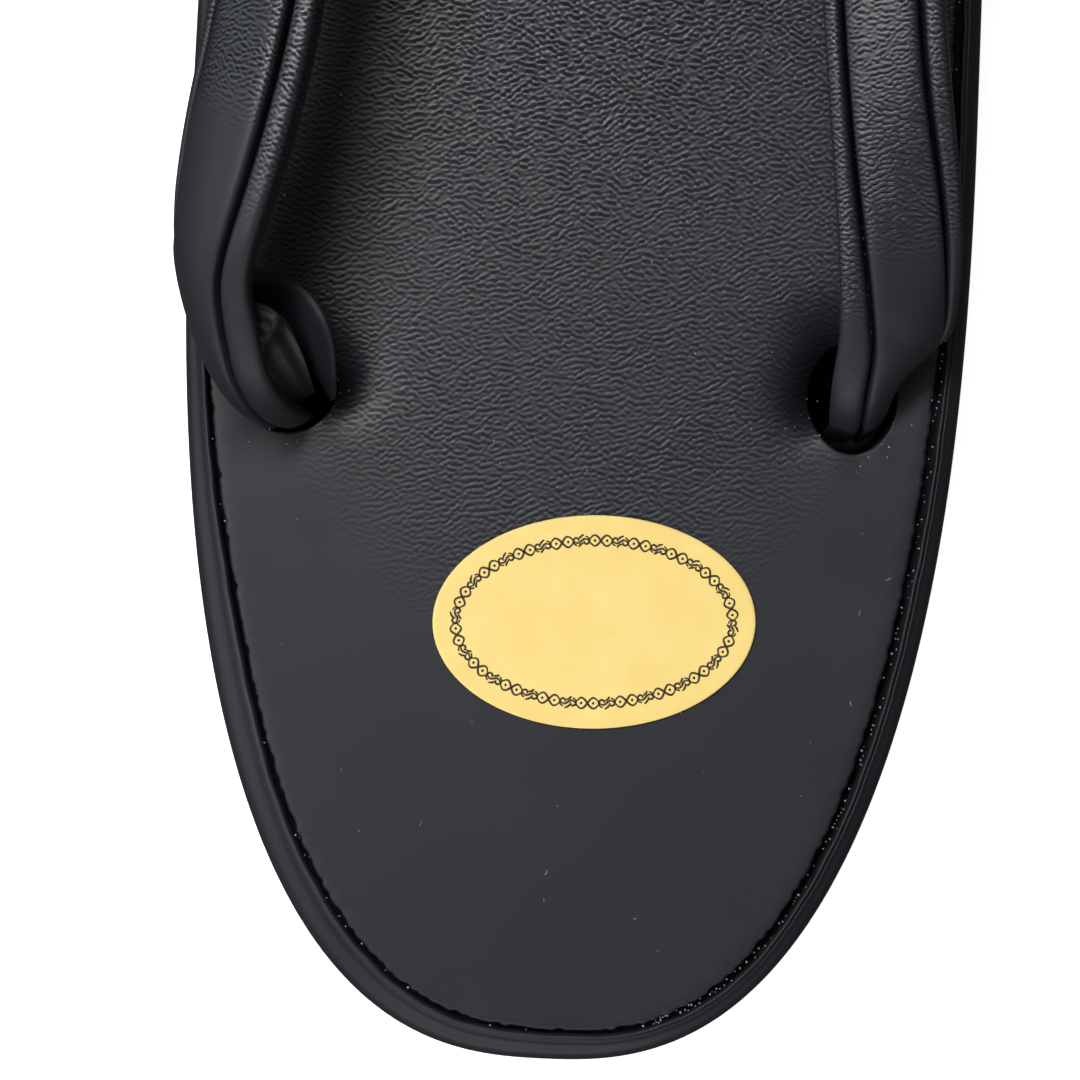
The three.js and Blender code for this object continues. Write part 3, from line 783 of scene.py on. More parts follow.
def vinyl(name, dark, light, roughness, pitch=None, lining=False):
    """Black vinyl. With a pitch it is embossed where the mesh's grain says, and along the mesh's flow."""
    material, tree, shader = new_material(name, roughness, VINYL_IOR)
    flow = attribute(tree, "flow", "Vector")
    height = calculate(tree, "MULTIPLY", noise(tree, flow, PORE_SCALE), PORE_HEIGHT)
    wear = noise(tree, flow, WEAR_SCALE, detail=3.0)
    rough = spread(tree, wear, *NOISE_RANGE, roughness - WEAR_SPREAD, roughness + WEAR_SPREAD)
    shader.inputs["Specular IOR Level"].default_value = VINYL_SHEEN
    if pitch:
        grain = attribute(tree, "grain", "Fac")
        ridges = embossing(tree, flow, pitch)
        raised = calculate(tree, "MULTIPLY", ridges, grain)
        height = calculate(tree, "ADD", calculate(tree, "MULTIPLY", raised, GRAIN_HEIGHT * pitch), height)
        smooth = spread(tree, attribute(tree, "backing", "Fac"), 0.0, 1.0, VINYL_SHEEN, BACKING_SHEEN)
        # Painted shade in the embossing's valleys and a painted highlight on its crests, given through the
        # sheen
        ridge_shade_and_highlight = spread(tree, ridges, 0.0, 1.0, VALLEY_SHADE_SHEEN - VINYL_SHEEN, CREST_HIGHLIGHT_SHEEN - VINYL_SHEEN)
        sheen = calculate(tree, "ADD", smooth, calculate(tree, "MULTIPLY", ridge_shade_and_highlight, grain))
        tree.links.new(sheen, shader.inputs["Specular IOR Level"])
        rough = calculate(tree, "SUBTRACT", rough, calculate(tree, "MULTIPLY", grain, GRAIN_GLOSS))
    if lining:
        crinkle = noise(tree, flow, LINING_SCALE)
        shown = calculate(tree, "MULTIPLY", crinkle, attribute(tree, "lining", "Fac"))
        height = calculate(tree, "ADD", height, calculate(tree, "MULTIPLY", shown, LINING_BUMP))
    add_bump(tree, shader, height)
    mottled(tree, shader, flow, dark, light, TONE_SCALE)
    tree.links.new(rough, shader.inputs["Roughness"])
    return material


def in_millimetres(tree):
    place = add_node(tree, "ShaderNodeTexCoord").outputs["Object"]
    return scaled(tree, place, (1 / MM,) * 3)


def foam_rubber():
    material, tree, shader = new_material("foam_rubber", roughness=0.85, ior=1.45)
    place = in_millimetres(tree)
    pores = calculate(tree, "MULTIPLY", noise(tree, place, FOAM_PORE_SCALE, detail=3.0), FOAM_PORE_HEIGHT)
    ribs = add_node(
        tree,
        "ShaderNodeTexWave",
        {"Vector": place, "Scale": TREAD_RIB_SCALE, "Distortion": 0.0},
        wave_type="BANDS",
        bands_direction="DIAGONAL",
    ).outputs["Fac"]
    tread = calculate(tree, "MULTIPLY", ribs, attribute(tree, "tread", "Fac"))
    ribbed = calculate(tree, "MULTIPLY", tread, TREAD_RIB_HEIGHT)
    add_bump(tree, shader, calculate(tree, "ADD", ribbed, pores))
    mottled(tree, shader, place, (0.010, 0.010, 0.011, 1), (0.016, 0.016, 0.017, 1), 0.3)
    return material


def gold_paper():
    material, tree, shader = new_material("gold_paper", roughness=0.5, ior=1.45)
    place = in_millimetres(tree)
    fibres = noise(tree, scaled(tree, place, (1.0, 2.0, 1.0)), FIBRE_SCALE, detail=4.0)
    add_bump(tree, shader, calculate(tree, "MULTIPLY", fibres, FIBRE_HEIGHT))
    mottled(tree, shader, place, (0.91, 0.645, 0.195, 1), (0.94, 0.685, 0.225, 1), 0.22)
    return material


def plain_finish(name, dark, light, roughness):
    material, tree, shader = new_material(name, roughness)
    mottled(tree, shader, in_millimetres(tree), dark, light, 1.5)
    return material


def lit_paper():
    """Pale floor paper that glows a little, so that shadows on it stay faint."""
    material, _, shader = new_material("floor_paper", 0.9)
    shader.inputs["Base Color"].default_value = (0.85, 0.85, 0.85, 1)
    shader.inputs["Emission Color"].default_value = (1, 1, 1, 1)
    shader.inputs["Emission Strength"].default_value = FLOOR_GLOW
    return material


BASE_VINYL = vinyl("base_vinyl", (0.009, 0.0096, 0.0118, 1), (0.011, 0.0117, 0.0142, 1), 0.52)
SHEET_VINYL = vinyl(
    "sheet_vinyl", (0.009, 0.0096, 0.0120, 1), (0.011, 0.0117, 0.0145, 1), 0.53, pitch=SHEET_GRAIN_PITCH
)
STRAP_VINYL = vinyl(
    "strap_vinyl",
    (0.010, 0.0106, 0.0128, 1),
    (0.012, 0.0127, 0.0152, 1),
    0.52,
    pitch=STRAP_GRAIN_PITCH,
    lining=True,
)
FOAM_RUBBER = foam_rubber()
GOLD_PAPER = gold_paper()
BROWN_INK = plain_finish("brown_ink", (0.020, 0.012, 0.006, 1), (0.045, 0.028, 0.014, 1), 0.55)
LINT = plain_finish("lint", (0.12, 0.125, 0.13, 1), (0.36, 0.37, 0.37, 1), 0.9)
FLOOR_PAPER = lit_paper()


# Sole and base


def build_outsole():
    rings = []
    for inset, rise in SOLE_CHAMFER * np.array(SOLE_EDGE):
        rings.append(OUTLINE.ring(SOLE_INSET + inset, lambda along, rise=rise: tread_height(along) + rise))
    rings.append(OUTLINE.ring(SOLE_INSET, lambda along: glue_height(along) - FIT_GAP - SOLE_TOP_EDGE))
    rings.append(OUTLINE.ring(SOLE_INSET + SOLE_TOP_EDGE, lambda along: glue_height(along) - FIT_GAP))
    count = len(OUTLINE.x)

    def cap(ring, height):
        """Points inside a ring at height(along), and triangles over it."""
        inside = grid_inside(ring[:, :2], SOLE_GRID, SOLE_GRID / 2)
        flat, triangles = fill_outline(ring[:, :2], inside=inside)
        return np.column_stack([flat[count:], height(flat[count:, 1] + LENGTH / 2)]), triangles

    low, under = cap(rings[0], tread_height)
    high, over = cap(rings[-1], lambda along: glue_height(along) - FIT_GAP)
    points = np.vstack([*rings, low, high])
    wall_count = count * len(rings)
    over_start = wall_count + len(low)
    top_ring = np.arange(wall_count - count, wall_count)
    under_place = np.concatenate([np.arange(count), np.arange(wall_count, over_start)])
    over_place = np.concatenate([top_ring, np.arange(over_start, len(points))])
    faces = [*tube_faces(len(rings), count), *under_place[under][:, ::-1], *over_place[over]]
    tread = np.zeros(len(points))
    tread[under_place] = 1
    return make_piece("outsole_foam", points, faces, FOAM_RUBBER, tread=tread)


def build_base():
    rim = OUTLINE.rim_width()
    waver = RIM_WAVER * OUTLINE.waver(RIM_WAVES, RIM_SEED)
    deeper = CREASE_DEPTH_RIGHT - CREASE_DEPTH_LEFT
    crease = CREASE_DEPTH_LEFT + deeper * smoothstep(OUTLINE.x, *CREASE_SIDES)
    at = np.linspace(0, len(BASE_SECTION) - 1, (len(BASE_SECTION) - 1) * SECTION_STEPS + 1)
    rings = []
    for share, drop, inset, rim_share in smooth_table(BASE_SECTION, at):
        uneven = waver * min(1.0, max(0.0, rim_share))
        from_crease = ((1 - rim_share) * rim - CREASE_FROM_SEAM) / CREASE_WIDTH
        lower = drop + crease * np.exp(-(from_crease**2)) - uneven

        def height(along, share=share, lower=lower):
            glue = glue_height(along)
            return glue + (top_height(along) - glue) * share - lower

        rings.append(OUTLINE.ring(inset + rim_share * rim + uneven, height))
    count = len(OUTLINE.x)
    hole_rings = [hole_ring(hole, 1.0) for hole in HOLES.values()]
    bed_edge = rings[-1][:, :2]
    bed, over = fill_outline(bed_edge, hole_rings, rings_inside(bed_edge, BED_MARGIN))
    _, under = fill_outline(rings[0][:, :2])
    rim_count = count * len(rings)
    faces = [*tube_faces(len(rings), count), *(over + rim_count - count), *under[:, ::-1]]
    bed_along = bed[count:, 1] + LENGTH / 2
    bed_height = top_height(bed_along) - SHEET_THICKNESS - FIT_GAP - pucker_drop(*bed[count:].T)
    points = [*rings, np.column_stack([bed[count:], bed_height])]
    start = rim_count + len(bed_height)
    for i, hole in enumerate(HOLES.values()):
        floor = top_height(np.array(hole[0])) - HOLE_DEPTH
        points.append(np.column_stack([hole_rings[i], np.full(HOLE_FACETS, floor)]))
        faces += wall_faces(rim_count + i * HOLE_FACETS, start, HOLE_FACETS)
        faces.append(range(start, start + HOLE_FACETS))
        start += HOLE_FACETS
    points = np.vstack(points)
    runs = np.concatenate([np.tile(OUTLINE.run, len(rings)), points[rim_count:, 0]])
    flow = flow_of(runs, points[:, 2])
    return make_piece("wrapped_base_vinyl", points, faces, BASE_VINYL, flow=flow)


def build_sheet():
    ragged = CUT_WAVER * OUTLINE.waver(CUT_WAVES, CUT_SEED)
    gap = SEAM_GAP + SEAM_GAP_RIGHT * smoothstep(OUTLINE.x, *SEAM_GAPE_SIDES)
    edge = OUTLINE.rim_width() + gap + np.maximum(ragged, -CUT_WAVER)
    rounding = np.linspace(0, np.pi / 2, SHEET_EDGE_STEPS + 1)
    rings = []
    for turn in rounding:
        inset = edge + SHEET_EDGE * (1 - math.sin(turn))
        drop = SHEET_EDGE * (1 - math.cos(turn))
        rings.append(OUTLINE.ring(inset, lambda along, drop=drop: top_height(along) - drop))
    rings.append(OUTLINE.ring(edge, lambda along: top_height(along) - SHEET_THICKNESS))
    count = len(OUTLINE.x)
    outer = rings[0][:, :2]
    around_holes = rings_inside(outer, SHEET_RING_MARGIN)
    inside = [grid_inside(outer, SHEET_GRID, SHEET_GRID_MARGIN, HOLES.values()), around_holes]
    hole_rings = [hole_ring(hole, 1.0) for hole in HOLES.values()]
    flat, triangles = fill_outline(outer, hole_rings, np.vstack(inside))
    under, under_triangles = fill_outline(rings[-1][:, :2], hole_rings, around_holes)
    points = np.vstack([on_top(flat), *rings[1:-1], on_top(under) - (0, 0, SHEET_THICKNESS)])
    points[:, 2] -= pucker_drop(points[:, 0], points[:, 1])
    low_start = len(points) - len(under)
    faces = [*triangles, *(under_triangles + low_start)[:, ::-1]]
    ring_starts = [0, *range(len(flat), low_start, count), low_start]
    for upper, lower in zip(ring_starts[:-1], ring_starts[1:]):
        faces += wall_faces(lower, upper, count)
    for i in range(len(HOLES)):
        high_ring = count + i * HOLE_FACETS
        faces += wall_faces(high_ring, low_start + high_ring, HOLE_FACETS)
    bowed = points[:, 1] + LENGTH / 2 - SHEET_GRAIN_BOW * points[:, 0] ** 2
    strength = SHEET_GRAIN_WEAK + (1 - SHEET_GRAIN_WEAK) * smoothstep(bowed, *SHEET_GRAIN_RISE)
    grain = smoothstep(bowed, *SHEET_GRAIN_FADE) * strength
    flow = flow_of(points[:, 0], points[:, 1])
    return make_piece("top_sheet_vinyl", points, faces, SHEET_VINYL, flow=flow, grain=grain)


# Thong


def roll_outline(roll, tuck):
    """A roll from the strap's back round its edge to the groove: distances in from the edge, and shares."""
    turn = np.linspace(-np.pi / 2, np.pi, ROLL_STEPS)
    below = turn < 0
    sine = np.sign(np.sin(turn)) * np.abs(np.sin(turn)) ** (2 / ROLL_SQUARE)
    cosine = np.sign(np.cos(turn)) * np.abs(np.cos(turn)) ** (2 / ROLL_SQUARE)
    share = GROOVE_SHARE + np.where(below, GROOVE_SHARE, ROLL_SHARE - GROOVE_SHARE) * sine
    return np.where(below, tuck, roll / 2) * (1 - cosine), share


def strap_section(width, inner, outer, flap):
    """The flat section from the outer roll to the back: distances across and shares of the thickness."""
    half = width / 2
    edge = -half - flap
    tuck = (1 - BACK_SHARE) * half
    outer_in, roll_share = roll_outline(outer, tuck)
    inner_in, _ = roll_outline(inner, tuck)
    way = -np.cos(np.linspace(0, np.pi, BAND_STEPS))
    band_start = edge + outer + GROOVE_WIDTH
    band_end = half - inner - GROOVE_WIDTH
    band = band_start + (band_end - band_start) * (way + 1) / 2
    band_share = BAND_LOW + (1 - BAND_LOW) * (1 - np.abs(way) ** BAND_SQUARE) ** (1 / BAND_SQUARE)
    back = np.linspace(BACK_SHARE * half, -BACK_SHARE * half - flap, BACK_STEPS + 2)[1:-1]
    across = np.concatenate([
        outer_in + edge,
        [edge + outer + GROOVE_MIDDLE],
        band,
        [half - inner - GROOVE_MIDDLE],
        (half - inner_in)[::-1],
        back,
    ])
    share = np.concatenate([
        roll_share, [GROOVE_FLOOR], band_share, [GROOVE_FLOOR], roll_share[::-1], np.zeros(BACK_STEPS)
    ])
    return across, share


ZONES = np.repeat(
    ["outer", "groove", "band", "groove", "inner", "back"],
    [ROLL_STEPS, 1, BAND_STEPS, 1, ROLL_STEPS, BACK_STEPS],
)


def crease_depth(name, along, across):
    """How far an arm's listed creases dent it at points across one of its sections."""
    depth = np.zeros_like(across)
    for at_along, at_across, slant, length, width, deep in STRAP_CREASES[name]:
        aside = across - at_across
        ahead = along - at_along - slant * aside
        depth += deep * np.exp(-((ahead / width) ** 2) - (aside / length) ** 2)
    return depth


def evened(rows, at):
    """The columns of an arm's table at places along it, with the kinks at its rows evened out."""
    return np.mean([smooth_table(rows, at + shift) for shift in EVENING], axis=0)


def arm_stations(rows):
    """Places in an arm's table from the centre of the toe to its end."""
    centre = rows[0, 1] / (rows[0, 1] - rows[1, 1])
    return np.linspace(centre, len(rows) - 1, (len(rows) - 1) * STATIONS_PER_ROW)


def arm_rings(name):
    """Rings of one arm from the centre of the toe to its end, with the flow and grain of their points."""
    side, rows = ARMS[name]
    at = arm_stations(rows)

    def place(where):
        row = evened(rows, where)
        height = top_height(row[:, 0]) + row[:, 2]
        return np.column_stack([side * row[:, 1], row[:, 0] - LENGTH / 2, height])

    values = evened(rows, at)
    centres = place(at)
    tangents = normalised(place(at + TANGENT_NUDGE) - place(at - TANGENT_NUDGE))
    centres[0, 0] = 0
    tangents[0] = (side, 0, 0)
    run = run_along(centres)
    rings, flows, grains = [], [], []
    for i, (along, _, _, lean, width, inner, outer, thick, curl, flap) in enumerate(values):
        inwards = np.array([-side, 0.0, 0.0]) if i else np.array([0.0, -1.0, 0.0])
        inwards -= tangents[i] * inwards.dot(tangents[i])
        inwards /= np.linalg.norm(inwards)
        up = np.cross(tangents[i], inwards) * -side
        lean = math.radians(lean)
        across_axis = inwards * math.cos(lean) + up * math.sin(lean)
        face_axis = up * math.cos(lean) - inwards * math.sin(lean)
        across, share = strap_section(width, inner, outer, flap)
        radius = width / math.radians(curl)
        turn = np.maximum(across, -width / 2) / radius
        beyond = np.minimum(across + width / 2, 0)[:, None]
        onwards = np.cos(turn)[:, None] * across_axis - np.sin(turn)[:, None] * face_axis
        dent = crease_depth(name, along, across) * (share > GROOVE_SHARE)
        flapped = min(1.0, max(0.0, flap / FLAP_FULL))
        thinned = FLAP_THINNING * flapped * smoothstep(-across, FLAP_FROM * width, width / 2 + flap)
        reach = radius - (1 - share) * thick * (1 - thinned) - dent
        sideways = (reach * np.sin(turn))[:, None] * across_axis
        outwards = (reach * np.cos(turn) - radius)[:, None] * face_axis
        ring = centres[i] + sideways + outwards + beyond * onwards
        girth = run_along(ring)
        rings.append(ring)
        flows.append(flow_of(girth - girth[BAND_MIDDLE], np.full(len(across), side * run[i])))
        faded = {zone: smoothstep(along, *fade) for zone, fade in STRAP_GRAIN_FADE[name].items()}
        grains.append([faded.get(zone, 0.0) for zone in ZONES])
    return rings, flows, grains


def build_thong():
    """Both arms as one strap, from the left hole over the toe to the right hole."""
    rings, flows, grains = (a[::-1] + b[1:] for a, b in zip(arm_rings("left"), arm_rings("right")))
    points, faces = capped_tube(rings)
    backed = (ZONES == "back") | (np.arange(len(ZONES)) < ROLL_UNDER)
    backing = np.tile(backed.astype(float), len(rings))
    return make_piece(
        "thong_strap_padded",
        points,
        faces,
        STRAP_VINYL,
        flow=np.vstack(flows),
        grain=np.concatenate(grains),
        lining=backing * LINING_ON_BACK,
        backing=backing,
    )


def shell(upper, lower):
    """Points and faces of a closed sheet between two grids of points."""
    rows, columns = upper.shape[:2]
    points = np.vstack([upper.reshape(-1, 3), lower.reshape(-1, 3)])
    index = np.arange(rows * columns).reshape(rows, columns)
    corners = (index[:-1, :-1], index[:-1, 1:], index[1:, 1:], index[1:, :-1])
    quads = np.stack(corners, axis=-1).reshape(-1, 4)
    faces = [tuple(quad[::-1]) for quad in quads]
    faces += [tuple(quad + rows * columns) for quad in quads]
    rim = np.concatenate([index[0, :-1], index[:-1, -1], index[-1, :0:-1], index[:0:-1, 0]])
    for first, second in zip(rim, np.roll(rim, -1)):
        faces.append((first, second, second + rows * columns, first + rows * columns))
    return points, faces


def build_lining():
    """Lining gathered in the mouth of the left arm's curled end, from its inner roll to its far edge."""
    rows = ARMS["left"][1]
    rings = np.array(arm_rings("left")[0])
    along = evened(rows, arm_stations(rows))[:, 0]
    shown = np.flatnonzero((along < LINING_FROM) & (rings[:, :, 2].mean(axis=1) > LINING_DOWN_TO))
    chosen = np.linspace(shown[0], shown[-1], LINING_STEPS).round().astype(int)
    back = rings[chosen][:, ZONES == "back"]
    share = np.linspace(0, 1, LINING_ACROSS)[None, :]
    here = along[chosen][:, None]
    gone_in = smoothstep(here, *LINING_TOP)
    reach = (1 - (1 - LINING_REACH) * smoothstep(here, *LINING_OPEN)) * (1 - LINING_SHRINK * gone_in)
    upper = back[:, :1] + (back[:, -1:] - back[:, :1]) * (reach * share)[:, :, None]
    fall = back[:, :1, 2] - back[:, -1:, 2]
    level = LINING_LEVEL * (1 - smoothstep(share, *LINING_FALL))
    patch = smoothstep(here, *LINING_PATCH) * (1 - smoothstep(share, *LINING_FALL)) * (1 - gone_in)
    folds = np.sin(2 * np.pi * (LINING_FOLDS * share + LINING_FOLD_DRIFT * here))
    crinkles = np.prod([np.sin(on * here + over * share) for on, over in LINING_CRINKLES], axis=0)
    gathered = back[:, -1:, 2] + fall * level
    tilt = LINING_PATCH_TILT * LINING_SPAN * (share - 0.5)
    tilt = tilt + LINING_PATCH_SLOPE * (LINING_PATCH_MIDDLE - here)
    upper[:, :, 2] = gathered + (top_height(here) + LINING_PATCH_RISE + tilt - gathered) * patch
    upper[:, :, 2] += LINING_FOLD_HEIGHT * folds * (1 - patch) + LINING_CRINKLE * crinkles * patch
    inwards = normalised(back[:, BACK_STEPS // 2] - (back[:, 0] + back[:, -1]) / 2)
    cleft = LINING_CLEFT * smoothstep(share, *LINING_FALL) * (1 - gone_in)
    upper += inwards[:, None] * (cleft + LINING_TUCK * gone_in)[:, :, None]
    lower = upper - np.array([0, 0, LINING_THICKNESS])
    points, faces = shell(upper, lower)
    shape = (LINING_STEPS, LINING_ACROSS)
    across = np.broadcast_to(share * LINING_SPAN, shape).ravel()
    run = np.broadcast_to(here, shape).ravel()
    flow = flow_of(np.tile(across, 2), np.tile(run, 2))
    lining = np.tile((LINING_PLAIN + (1 - LINING_PLAIN) * patch).ravel(), 2)
    none = np.zeros(len(points))
    return make_piece("gathered_lining", points, faces, STRAP_VINYL, flow=flow, grain=none, lining=lining)


def even_path(path, steps):
    """Points at equal distances along a smooth curve through the path's points."""
    points = np.array(path, float)
    gaps = np.linalg.norm(np.diff(points, axis=0), axis=1)
    places = np.concatenate([[0], np.cumsum(np.sqrt(gaps))])
    fine = smooth_table(points, np.linspace(0, places[-1], LOOP_FINENESS * len(points)), places)
    run = run_along(fine)
    even = np.linspace(0, run[-1], steps)
    return np.stack([np.interp(even, run, fine[:, k]) for k in range(2)], axis=1), even


def build_toe_loop():
    hole_along = HOLES["front"][0]
    path, run = even_path(LOOP_PATH, LOOP_STEPS)
    tangents = normalised(np.gradient(path, axis=0))
    half_width = LOOP_WIDTH / 2 - LOOP_CORNER
    half_thick = LOOP_THICKNESS / 2 - LOOP_CORNER
    section = []
    for corner, (sx, sy) in enumerate(((1, 1), (-1, 1), (-1, -1), (1, -1))):
        for turn in (corner + np.linspace(0, 1, LOOP_CORNER_STEPS)) * np.pi / 2:
            x = sx * half_width + LOOP_CORNER * math.cos(turn)
            section.append((x, sy * half_thick + LOOP_CORNER * math.sin(turn)))
    section = np.array(section)
    base = float(top_height(np.array(hole_along)))
    rings, flows = [], []
    for (ahead, rise), (forward, upward), gone in zip(path, tangents, run):
        centre = np.array([0.0, hole_along - LENGTH / 2 + ahead, base + rise])
        through = np.array([0.0, upward, -forward])
        rings.append(centre + section[:, :1] * np.array([1.0, 0, 0]) + section[:, 1:] * through)
        flows.append(flow_of(section[:, 0], np.full(len(section), gone)))
    points, faces = capped_tube(rings)
    none = np.zeros(len(points))
    grain = none + LOOP_GRAIN
    flow = np.vstack(flows)
    return make_piece("toe_loop_vinyl", points, faces, STRAP_VINYL, flow=flow, grain=grain, lining=none)


# Sticker


def sticker_place(x, y, lift):
    """Points on the sticker, from its own length and width, as points of the sandal."""
    along = STICKER_ALONG + x * math.sin(STICKER_TURN) + y * math.cos(STICKER_TURN)
    across = STICKER_ACROSS + x * math.cos(STICKER_TURN) - y * math.sin(STICKER_TURN)
    return np.stack([across, along - LENGTH / 2, top_height(along) + STICKER_LIFT + lift], axis=1)


def build_sticker():
    turn = full_turn(STICKER_FACETS)
    x = STICKER_LENGTH / 2 * np.cos(turn)
    y = STICKER_WIDTH / 2 * np.sin(turn)
    rings = [sticker_place(x * STICKER_UNDERCUT, y * STICKER_UNDERCUT, 0.0)]
    rings.append(sticker_place(x, y, STICKER_THICKNESS / 2))
    for share in STICKER_RINGS:
        lift = STICKER_THICKNESS * (1.0 - STICKER_EDGE_SAG * (share == 1.0))
        rings.append(sticker_place(x * share, y * share, lift))
    points = np.vstack([*rings, sticker_place(np.zeros(1), np.zeros(1), STICKER_THICKNESS)])
    faces = tube_faces(len(rings), STICKER_FACETS)
    last = STICKER_FACETS * (len(rings) - 1)
    middle = len(points) - 1
    for i in range(STICKER_FACETS):
        faces.append((last + i, last + (i + 1) % STICKER_FACETS, middle))
    faces.append(tuple(range(STICKER_FACETS))[::-1])
    return make_piece("oval_sticker_paper", points, faces, GOLD_PAPER)


def ribbon(points, widths):
    """A thin closed strip along flat points: the points and faces of a long box."""
    heading = normalised(np.gradient(points, axis=0))
    aside = np.column_stack([-heading[:, 1], heading[:, 0]]) * widths[:, None] / 2
    corners = []
    for way, lift in ((-1, 0.0), (1, 0.0), (1, STROKE_THICKNESS), (-1, STROKE_THICKNESS)):
        corners.append(np.column_stack([points + way * aside, np.full(len(points), lift)]))
    return capped_tube(np.stack(corners, axis=1))


def border_motif(unit):
    """Strokes of one repeat: two eyes made by crossing strands, and a curl between the pairs of eyes."""
    eyes = np.linspace(0, EYES_SHARE, EYE_STEPS)
    wave = EYE_HALF_HEIGHT * np.sin(eyes / EYES_SHARE * 2 * np.pi)
    strokes = [np.column_stack([eyes * unit, wave]), np.column_stack([eyes * unit, -wave])]
    turn = np.linspace(0, 2 * np.pi, DOT_STEPS)
    strokes += [DOT_RADIUS * on_circle(turn) + (middle * unit, 0.0) for middle in DOTS]
    turn = np.linspace(0, CURL_TURN, CURL_STEPS) + np.pi / 2
    size = np.linspace(*CURL_SIZE, CURL_STEPS)
    for end, way in CURLS:
        x = end * unit + way * size * np.cos(turn)
        strokes.append(np.column_stack([x, way * (size * np.sin(turn) - CURL_DROP)]))
    way = np.linspace(0, 1, TENDRIL_STEPS)
    for start, low, end, high in TENDRILS:
        x = (start + (end - start) * way) * unit + TENDRIL_BOW * np.sin(np.pi * way)
        strokes.append(np.column_stack([x, low + (high - low) * way]))
    link = np.linspace(EYES_SHARE, 1.0, LINK_STEPS)
    turn = (link - EYES_SHARE) / (1 - EYES_SHARE) * 2 * np.pi
    strokes.append(np.column_stack([link * unit, LINK_HEIGHT * np.sin(turn)]))
    return strokes


def build_border():
    half_sizes = np.array([BORDER_HALF_LENGTH, BORDER_HALF_WIDTH])
    turn = np.linspace(0, 2 * np.pi, BORDER_STEPS)
    run = run_along(half_sizes * on_circle(turn))
    unit = run[-1] / BORDER_REPEATS
    thin, more = INK_SWELL
    strokes = []
    for repeat in range(BORDER_REPEATS):
        for stroke in border_motif(unit):
            gone = (repeat * unit + stroke[:, 0]) % run[-1]
            angle = np.interp(gone, run, turn)
            normal = normalised(on_circle(angle) / half_sizes)
            path = half_sizes * on_circle(angle) + normal * stroke[:, 1:]
            swell = thin + more * np.sin(np.linspace(0, np.pi, len(stroke)))
            corners, faces = ribbon(path, INK_WIDTH * swell)
            lift = STICKER_THICKNESS + INK_LIFT + corners[:, 2]
            strokes.append((sticker_place(corners[:, 0], corners[:, 1], lift), faces))
    return make_piece("sticker_border_ink", *joined(strokes), BROWN_INK)


# Lint and hairs


def speck(centre, draw):
    """A small uneven lump at the point given."""
    size = draw.uniform(*SPECK_SIZE) * draw.uniform(*SPECK_UNEVEN, (len(SPECK_CORNERS), 1))
    return centre + SPECK_CORNERS * size, SPECK_SIDES


def seam_places(draw, count, chosen):
    """Random points in the seam beside the chosen points of the outline."""
    picked = draw.choice(np.flatnonzero(chosen), count)
    into = OUTLINE.rim_width() + draw.uniform(*SEAM_SPECKS_IN, len(OUTLINE.x))
    places = OUTLINE.ring(into, top_height)[picked]
    places[:, 2] -= draw.uniform(*SEAM_SPECKS_DOWN, count)
    return places


def groove_places(draw, count, name):
    """Random points in the groove beside an arm's inner roll, over the stretch by the rear hole."""
    rings = np.array(arm_rings(name)[0])
    groove = rings[:, np.flatnonzero(ZONES == "groove")[1]]
    edge = rings[:, np.flatnonzero(ZONES == "inner")[0]]
    behind = groove[:, 1] < GROOVE_SPECKS_TO - LENGTH / 2
    picked = draw.choice(np.flatnonzero(behind & (groove[:, 2] > GROOVE_SPECKS_FROM)), count)
    mix = draw.uniform(*GROOVE_SPECKS_UP, (count, 1))
    return groove[picked] + (edge[picked] - groove[picked]) * mix


def hole_places(draw, count, hole):
    """Random points on the drawn-down sheet round the heel side of a hole."""
    along, out, half_x, half_y, _, _ = hole
    turn = draw.uniform(*HOLE_SPECKS_TURN, count)
    share = 1 + draw.exponential(HOLE_SPECKS_SPREAD, count)
    x = out + half_x * share * np.cos(turn)
    y = along - LENGTH / 2 + half_y * share * np.sin(turn)
    places = on_top(np.column_stack([x, y]))
    places[:, 2] -= pucker_drop(x, y)
    return places


def sheet_places(draw, count):
    """Random points on the sheet's heel half."""
    along = draw.uniform(*SHEET_SPECKS_ALONG, count)
    right = OUTLINE.x >= 0
    x = draw.uniform(*SHEET_SPECKS_OUT, count) * np.interp(along, OUTLINE.along[right], OUTLINE.x[right])
    return np.column_stack([x, along - LENGTH / 2, top_height(along)])


def build_specks():
    draw = np.random.default_rng(LINT_SEED)
    heel_right = (OUTLINE.x > SEAM_RIGHT_FROM) & (OUTLINE.along < SEAM_RIGHT_TO)
    centres = np.vstack([
        seam_places(draw, SEAM_RIGHT_SPECKS, heel_right),
        seam_places(draw, SEAM_SPECKS, OUTLINE.along < SEAM_SPECKS_TO),
        groove_places(draw, GROOVE_SPECKS, "left"),
        groove_places(draw, GROOVE_SPECKS, "right"),
        hole_places(draw, HOLE_SPECKS, HOLES["left"]),
        hole_places(draw, HOLE_SPECKS, HOLES["right"]),
        sheet_places(draw, SHEET_SPECKS),
    ])
    specks = [speck(centre, draw) for centre in centres]
    return make_piece("lint_specks", *joined(specks), LINT)


def build_hairs():
    way = np.linspace(0, 1, HAIR_STEPS)
    widths = HAIR_WIDTH * np.sin(np.pi * np.linspace(*HAIR_TAPER, HAIR_STEPS))
    hairs = []
    for along, out, length, heading, bend in HAIRS:
        turn = np.radians(heading + bend * (way - 0.5))
        path = np.cumsum(on_circle(turn), axis=0) * (length / HAIR_STEPS) + (out, along - LENGTH / 2)
        corners, faces = ribbon(path, widths)
        points = on_top(corners[:, :2])
        points[:, 2] = points[:, 2] + HAIR_LIFT + corners[:, 2]
        hairs.append((points, faces))
    return make_piece("lint_hairs", *joined(hairs), LINT)


# Stage


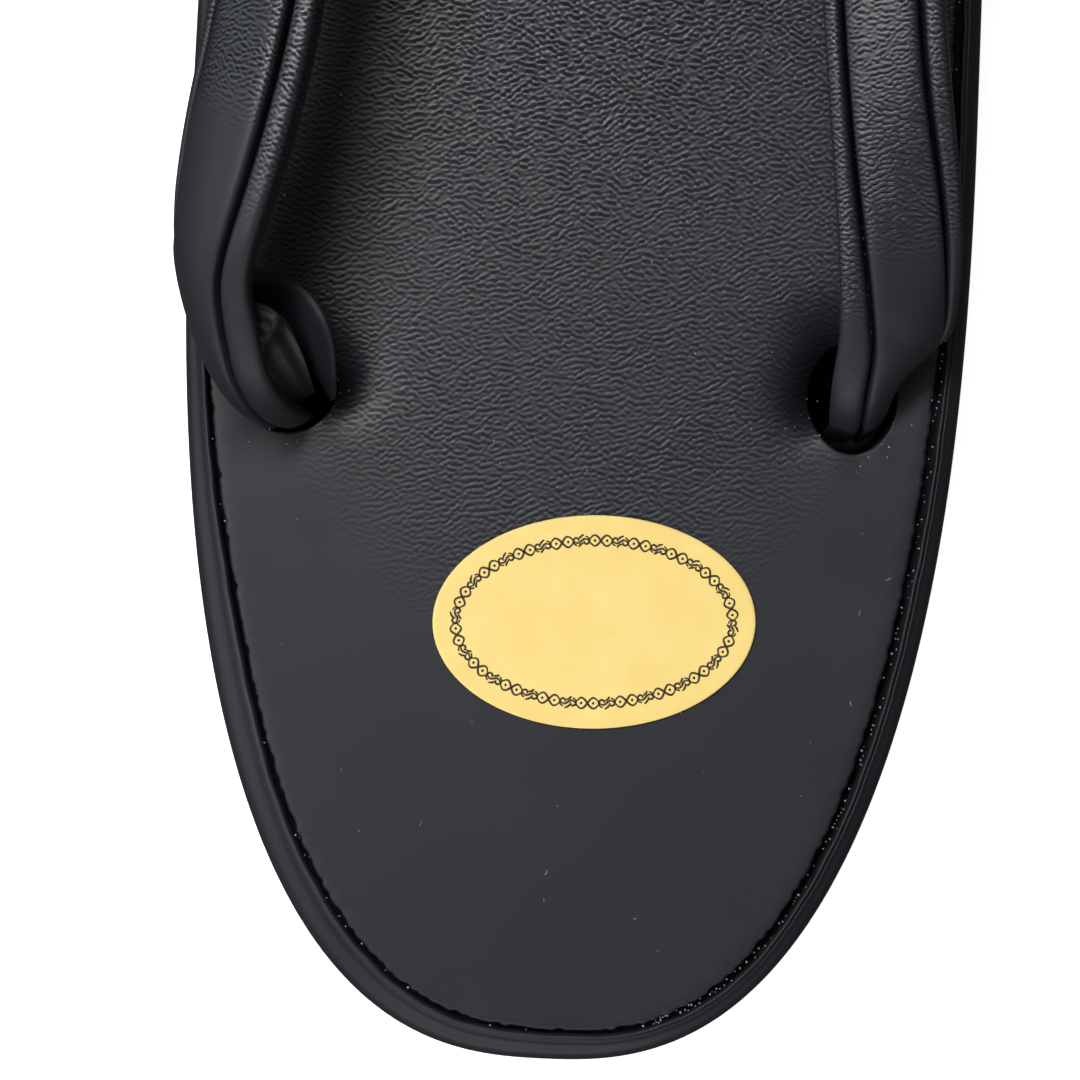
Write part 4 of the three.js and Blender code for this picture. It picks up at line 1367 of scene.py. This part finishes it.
def add_area_light(name, place, size, power, colour):
    data = bpy.data.lights.new(name, "AREA")
    data.shape = "RECTANGLE"
    data.size, data.size_y = size
    data.energy = power
    data.color = colour
    light = bpy.data.objects.new(name, data)
    light.location = place
    light.rotation_euler = (Vector(LIGHT_TARGET) - light.location).to_track_quat("-Z", "Y").to_euler()
    bpy.context.scene.collection.objects.link(light)


def build_stage():
    circle = on_circle(full_turn(FLOOR_FACETS))
    rings = [np.column_stack([out * circle, np.full(FLOOR_FACETS, rise)]) for out, rise in FLOOR_SWEEP]
    faces = [quad[::-1] for quad in tube_faces(len(rings), FLOOR_FACETS)]
    faces.append(range(FLOOR_FACETS))
    floor = make_piece("floor", np.vstack(rings), faces, FLOOR_PAPER)
    floor.visible_glossy = False
    floor.visible_diffuse = False
    floor.visible_shadow = False
    world = bpy.data.worlds.new("studio")
    world.use_nodes = True
    background = world.node_tree.nodes["Background"]
    background.inputs["Color"].default_value = WORLD_COLOUR
    background.inputs["Strength"].default_value = WORLD_STRENGTH
    bpy.context.scene.world = world
    for name, settings in LIGHTS.items():
        add_area_light(name, *settings)
    bpy.context.scene.view_settings.view_transform = "Standard"


def build_camera():
    data = bpy.data.cameras.new("photo_camera")
    data.lens = CAMERA_LENS
    data.sensor_width = CAMERA_SENSOR
    data.clip_start = CAMERA_NEAR * MM
    camera = bpy.data.objects.new("photo_camera", data)
    camera.location = [value * MM for value in CAMERA_PLACE]
    camera.rotation_euler = (0, 0, CAMERA_ROLL)
    bpy.context.scene.collection.objects.link(camera)
    bpy.context.scene.camera = camera


build_camera()
build_stage()
PIECES = (
    (build_outsole(), "outsole", "sole_rubber"),
    (build_base(), "wrapped_base", "base_vinyl"),
    (build_sheet(), "top_sheet", "sheet_vinyl"),
    (build_thong(), "thong_strap", "strap_vinyl"),
    (build_toe_loop(), "toe_loop", "strap_vinyl"),
    (build_sticker(), "oval_sticker", "sticker_paper"),
)
for piece, node, slot in PIECES:
    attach(piece, "root")
    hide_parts(node)
for trim in (build_lining(), build_border(), build_specks(), build_hairs()):
    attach(trim, "root")
